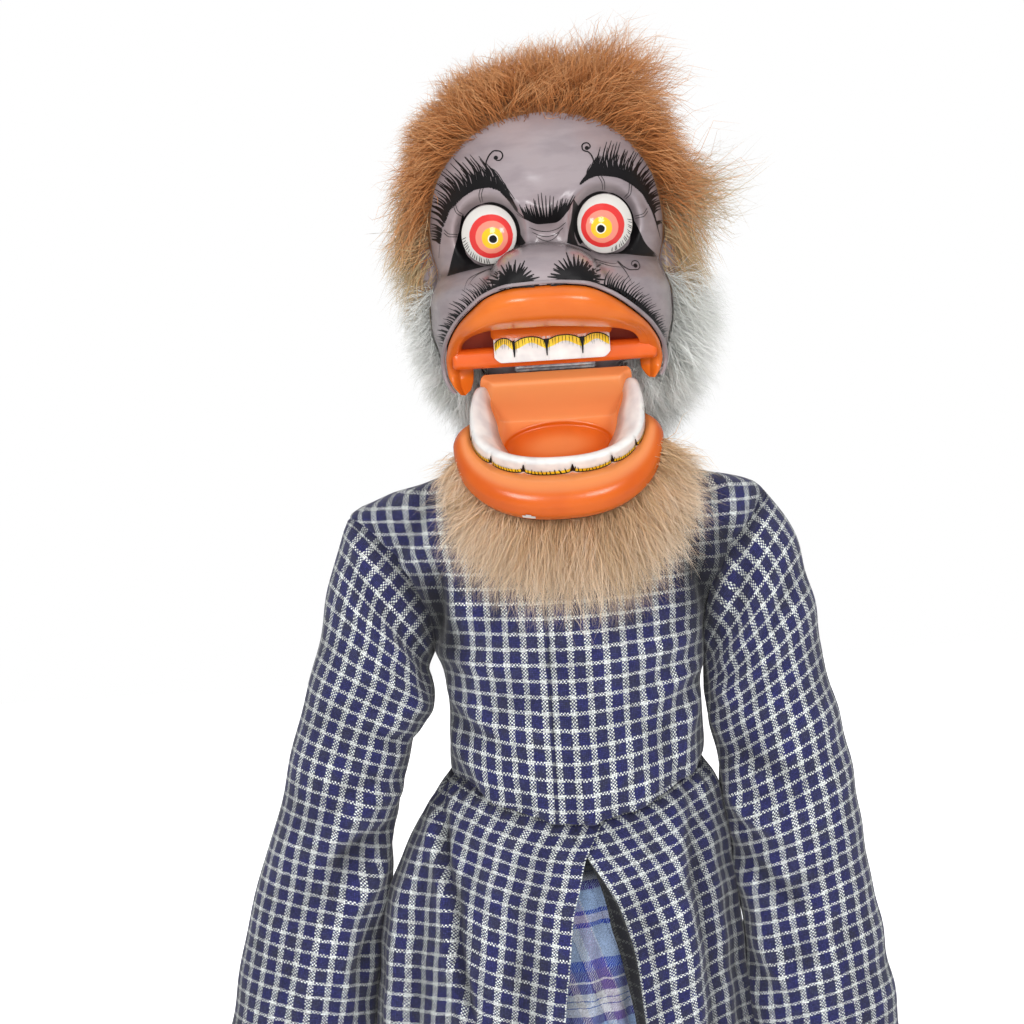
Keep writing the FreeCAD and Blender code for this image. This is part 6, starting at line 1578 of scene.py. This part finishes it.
# The reach of the hair seen from the front: bearings about the skull's middle, and millimetres.
OUTLINE_AT = (-180, -171, -156, -90, -33, -16, -4.6, -0.6, 5.5, 14, 25.6, 38, 45, 51, 63, 71, 88, 103, 121,
              137, 153, 172, 180)
OUTLINE_MM = (79, 84, 86, 80, 86, 84, 94, 102, 97, 84, 76, 73, 80, 99, 92, 82, 77, 74, 77, 74, 73, 75, 79)
chance = np.random.default_rng(41)
angle = chance.uniform(-math.pi, math.pi, HAIR_COUNT * 2)
height = chance.uniform(714, 819.5, HAIR_COUNT * 2)
keep = height > flow(HAIRLINE_AT, HAIRLINE_MM, np.abs(angle)) + chance.uniform(0, 2.5, len(angle))
angle, height = angle[keep][:HAIR_COUNT], height[keep][:HAIR_COUNT]
root, outward = scalp(angle, height, HIDE_LIFT_MM)
side = root[:, 0] / 54
above = np.clip((height - SKULL_Z_MM) / 45, 0, 1)
bearing = np.degrees(np.arctan2(root[:, 2] - SKULL_Z_MM, root[:, 0]))
away = np.hypot(root[:, 0], root[:, 2] - SKULL_Z_MM)
reach = np.interp(bearing, OUTLINE_AT, OUTLINE_MM) - away
tuft = np.exp(-((bearing - 54) / 13) ** 2) * np.clip((away - 30) / 20, 0, 1)
spikes = np.exp(-((bearing - 1) / 7) ** 2) * (away > 40)
radial = np.stack([np.cos(np.radians(bearing)), 0 * bearing, np.sin(np.radians(bearing))], -1)
way = outward * 0.5 + np.stack([0.62 * side, 0.1 + 0 * side, 0.35 * above - 0.75 * (1 - above)], -1)
way = way * (1 - 0.8 * np.maximum(tuft, spikes))[:, None] + radial * np.maximum(tuft, spikes)[:, None]
edge_gap = height - flow(HAIRLINE_AT, HAIRLINE_MM, np.abs(angle))
ragged = 1 + 0.2 * np.sin(0.45 * bearing + 2.2 * np.sin(0.11 * bearing)) + 0.14 * np.sin(1.13 * bearing + 1)
long = (np.clip((reach + 3) * ragged, 10, 28 + 26 * np.maximum(tuft, spikes))
        * chance.uniform(0.72, 1.12, len(angle)))
long = np.where((edge_gap < 8) & (np.cos(angle) > 0), long * (0.6 + 0.05 * edge_gap), long)
way = unit(unit(way) + chance.normal(size=way.shape) * 0.34)
paths, lock = combed_paths(chance, root, way, long, (0.14 + 0.25 * (1 - above)) * (1 - spikes), 0.26, 900,
                           0.62, 0.55)
blond = np.clip((783 + 10 * (side > 0) - height) / 22 + chance.normal(size=len(angle))[lock] * 0.3, 0, 1)
blond = (blond * np.clip((np.abs(np.degrees(angle)) - 74 + chance.normal(size=len(angle)) * 5) / 16,
                         0, 1) * 0.95)
hide_angle = np.linspace(-math.pi, math.pi, 120)[None, :]
hide_low = flow(HAIRLINE_AT, HAIRLINE_MM, np.abs(hide_angle)) + 1.0
hide_z = hide_low + (819.8 - hide_low) * np.linspace(0, 1, 60)[:, None]
hide, _ = scalp(hide_angle + 0 * hide_z, hide_z, 0.8 - 1.6 * np.linspace(1, 0, 60)[:, None, None] ** 14)
red_brown = fur_material("dyed_goat_fur", "#8A532C", "#C27E49", "#DEAC7A", "#C4B28C")
hair = fur("hair_fur", paths, HAIR_WIDTH_MM, blond, hide, red_brown, "rod_head", 42)
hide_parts("hair_pelt")

# Fur of the nape
# Undyed white and grey goat fur on a hide round the back of the head, from ear to ear and down
# over the neck.

chance = np.random.default_rng(43)
angle = chance.uniform(1.45, math.pi, NAPE_COUNT) * chance.choice([-1, 1], NAPE_COUNT)
height = chance.uniform(664, 730, NAPE_COUNT)
root, outward = scalp(angle, height, HIDE_LIFT_MM)
right_share = np.clip(root[:, 0] / 50, -1, 1)
low = np.clip((724 - height) / 60, 0, 1)
way = (outward * np.array([1.0, 1.0, 0.1]) * 0.75
       + np.stack([0.15 * right_share, 0 * low, -0.35 - 0.45 * low], -1))
long = 25 + 7 * right_share - 5 * low + chance.uniform(-6, 4, len(angle))
beside = np.arange(NAPE_COUNT) < BESIDE_COUNT
hand = np.sign(root[:, 0])
root[beside] = np.stack([hand * chance.uniform(34, 43, NAPE_COUNT), chance.uniform(-12, -4, NAPE_COUNT),
                         chance.uniform(676, 697, NAPE_COUNT)], -1)[beside]
way[beside] = np.stack([0.1 * hand, -0.1 + 0 * hand, -1.0 + 0 * hand], -1)[beside]
long[beside] = chance.uniform(9, 15, BESIDE_COUNT)
way = unit(way + chance.normal(size=way.shape) * 0.4)
paths, lock = combed_paths(chance, root, way, long, np.full(len(angle), 0.18), 0.22, 900, 0.5, 0.5)
hide_angle = np.linspace(1.62, 2 * math.pi - 1.62, 90)[None, :]
hide_z = np.linspace(662, 724, 24)[:, None]
edge = np.abs(np.linspace(-1, 1, 90))[None, :, None] ** 20
hide, _ = scalp(hide_angle + 0 * hide_z, hide_z, 0.7 - 1.5 * edge)
white_fur = fur_material("white_goat_fur", "#CCCECA", "#EEEFEC", "#FAFAF8", "#DADCD6")
nape = fur("nape_fur", paths, NAPE_WIDTH_MM, np.clip(chance.normal(size=len(angle))[lock] * 0.4 + 0.3, 0, 1),
           hide, white_fur, "rod_head", 44)
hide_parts("nape_pelt")

# Beard
# Tan goat fur on a strip of hide tacked under the jaw, fanning out over the chest.

chance = np.random.default_rng(45)
bearing = chance.uniform(-1.62, 1.62, BEARD_COUNT)
layer_at = chance.uniform(0, 1, BEARD_COUNT)
inwards = chance.uniform(0, 1, BEARD_COUNT)
root = np.stack([1.5 + (44 - 9 * inwards) * np.sin(bearing), -33 - 17 * layer_at,
                 652 - (25 - 9 * inwards) * np.cos(bearing) + 2 * chance.normal(size=BEARD_COUNT)], -1)
open_out = bearing * 0.62 + chance.normal(size=BEARD_COUNT) * 0.22
way = np.stack([np.sin(open_out), -0.12 + 0.1 * layer_at + 0.14 * chance.normal(size=BEARD_COUNT),
                -np.cos(open_out)], -1)
long = flow((-1.62, -1.2, -0.8, -0.3, 0.0, 0.4, 0.9, 1.3, 1.62),
            (20, 26, 42, 52, 55, 52, 42, 29, 23), bearing)
long = long * chance.uniform(0.4, 1.2, BEARD_COUNT)
paths, lock = combed_paths(chance, root, unit(way), long, np.full(BEARD_COUNT, 0.05), 0.17, 620, 0.58, 0.42)
shades = np.clip(0.45 * np.sin(bearing * 17 + 1.3) * np.sin(bearing * 5.1)
                 + 0.35 * chance.normal(size=BEARD_COUNT)[lock] + 0.25, 0, 1)
hide_bearing = np.linspace(-1.6, 1.6, 60)[None, :]
hide_in = np.linspace(0, 1, 6)[:, None]
hide = np.stack([1.5 + (44 - 20 * hide_in) * np.sin(hide_bearing), -36 - 6 * np.cos(hide_bearing)
                 + 0 * hide_in, 652 - (25 - 12 * hide_in) * np.cos(hide_bearing)], -1)
tan_fur = fur_material("tan_goat_fur", "#A87D50", "#E8C399", "#F4E6D4", "#C4A67E")
beard = fur("beard_fur", paths, BEARD_WIDTH_MM, shades, hide, tan_fur, "jaw", 46)
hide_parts("beard_pelt")

# Studio
# White surroundings, a white floor that keeps the shadow, two soft lamps in front, a wide one above
# and a broad one low in front that leaves no glint, at a level that shows the colours as written.

floor_mesh = bpy.data.meshes.new("studio_floor")
floor_mesh.from_pydata([(-4, -4, 0), (4, -4, 0), (4, 4, 0), (-4, 4, 0)], [], [(0, 1, 2, 3)])
floor = bpy.data.objects.new("studio_floor", floor_mesh)
bpy.context.scene.collection.objects.link(floor)
floor_white, tree, shader = blank_material("studio_white")
shader.inputs["Base Color"].default_value = linear("#F4F4F4")
shader.inputs["Roughness"].default_value = 0.9
shader.inputs["Emission Color"].default_value = (1, 1, 1, 1)
tree.links.new(add(tree, "ShaderNodeLightPath").outputs["Is Camera Ray"], shader.inputs["Emission Strength"])
floor_mesh.materials.append(floor_white)

AMBIENT = 0.5
world = bpy.data.worlds.new("studio")
bpy.context.scene.world = world
world.use_nodes = True
tree = world.node_tree
background = tree.nodes["Background"]
seen = add(tree, "ShaderNodeLightPath").outputs
straight = maths(tree, "MAXIMUM", seen["Is Camera Ray"], seen["Is Transmission Ray"])
level = maths(tree, "MULTIPLY_ADD", straight, 1.0 - AMBIENT, AMBIENT)
background.inputs["Color"].default_value = (1, 1, 1, 1)
tree.links.new(level, background.inputs["Strength"])


def lamp(name, place, aim, width, watts, in_gloss=True):
    """A square soft lamp turned to its aim, which may be left out of gloss."""
    data = bpy.data.lights.new(name, "AREA")
    data.shape, data.size, data.energy = "SQUARE", width, watts
    made = bpy.data.objects.new(name, data)
    bpy.context.scene.collection.objects.link(made)
    turn = (Vector(aim) - Vector(place)).to_track_quat("-Z", "Y")
    made.matrix_world = Matrix.Translation(place) @ turn.to_matrix().to_4x4()
    made.visible_glossy = in_gloss


lamp("left_softbox", (-0.42, -1.25, 1.02), (0, 0, 0.62), 0.36, 5.6)
lamp("right_softbox", (0.42, -1.25, 1.02), (0, 0, 0.62), 0.36, 5.1)
lamp("top_softbox", (0.0, -0.35, 1.75), (0, 0, 0.6), 0.9, 1.2)
lamp("front_fill", (0.0, -2.0, 0.22), (0, 0, 0.65), 1.2, 13.0, in_gloss=False)

# Camera
# In front of the nose, looking down a little and rolled by a few degrees, as the photograph was
# taken. The field is the width in millimetres that it shows at the face.

CAMERA_AT = (-0.012, -1.36, 0.735)
LOOK_AT = (-0.0240, 0.0, 0.6235)
ROLL = math.radians(-3.7)
FIELD_MM = 461.0
SENSOR_MM = 36
FACE_FORWARD_M = 0.04
camera_data = bpy.data.cameras.new("camera")
camera = bpy.data.objects.new("camera", camera_data)
bpy.context.scene.collection.objects.link(camera)
way = Vector(LOOK_AT) - Vector(CAMERA_AT)
camera.matrix_world = (Matrix.Translation(CAMERA_AT) @ way.to_track_quat("-Z", "Y").to_matrix().to_4x4()
                       @ Matrix.Rotation(ROLL, 4, "Z"))
camera_data.sensor_width = SENSOR_MM
camera_data.lens = SENSOR_MM * (way.length - FACE_FORWARD_M) / (FIELD_MM / 1000)
bpy.context.scene.camera = camera
bpy.context.scene.view_settings.view_transform = "Standard"
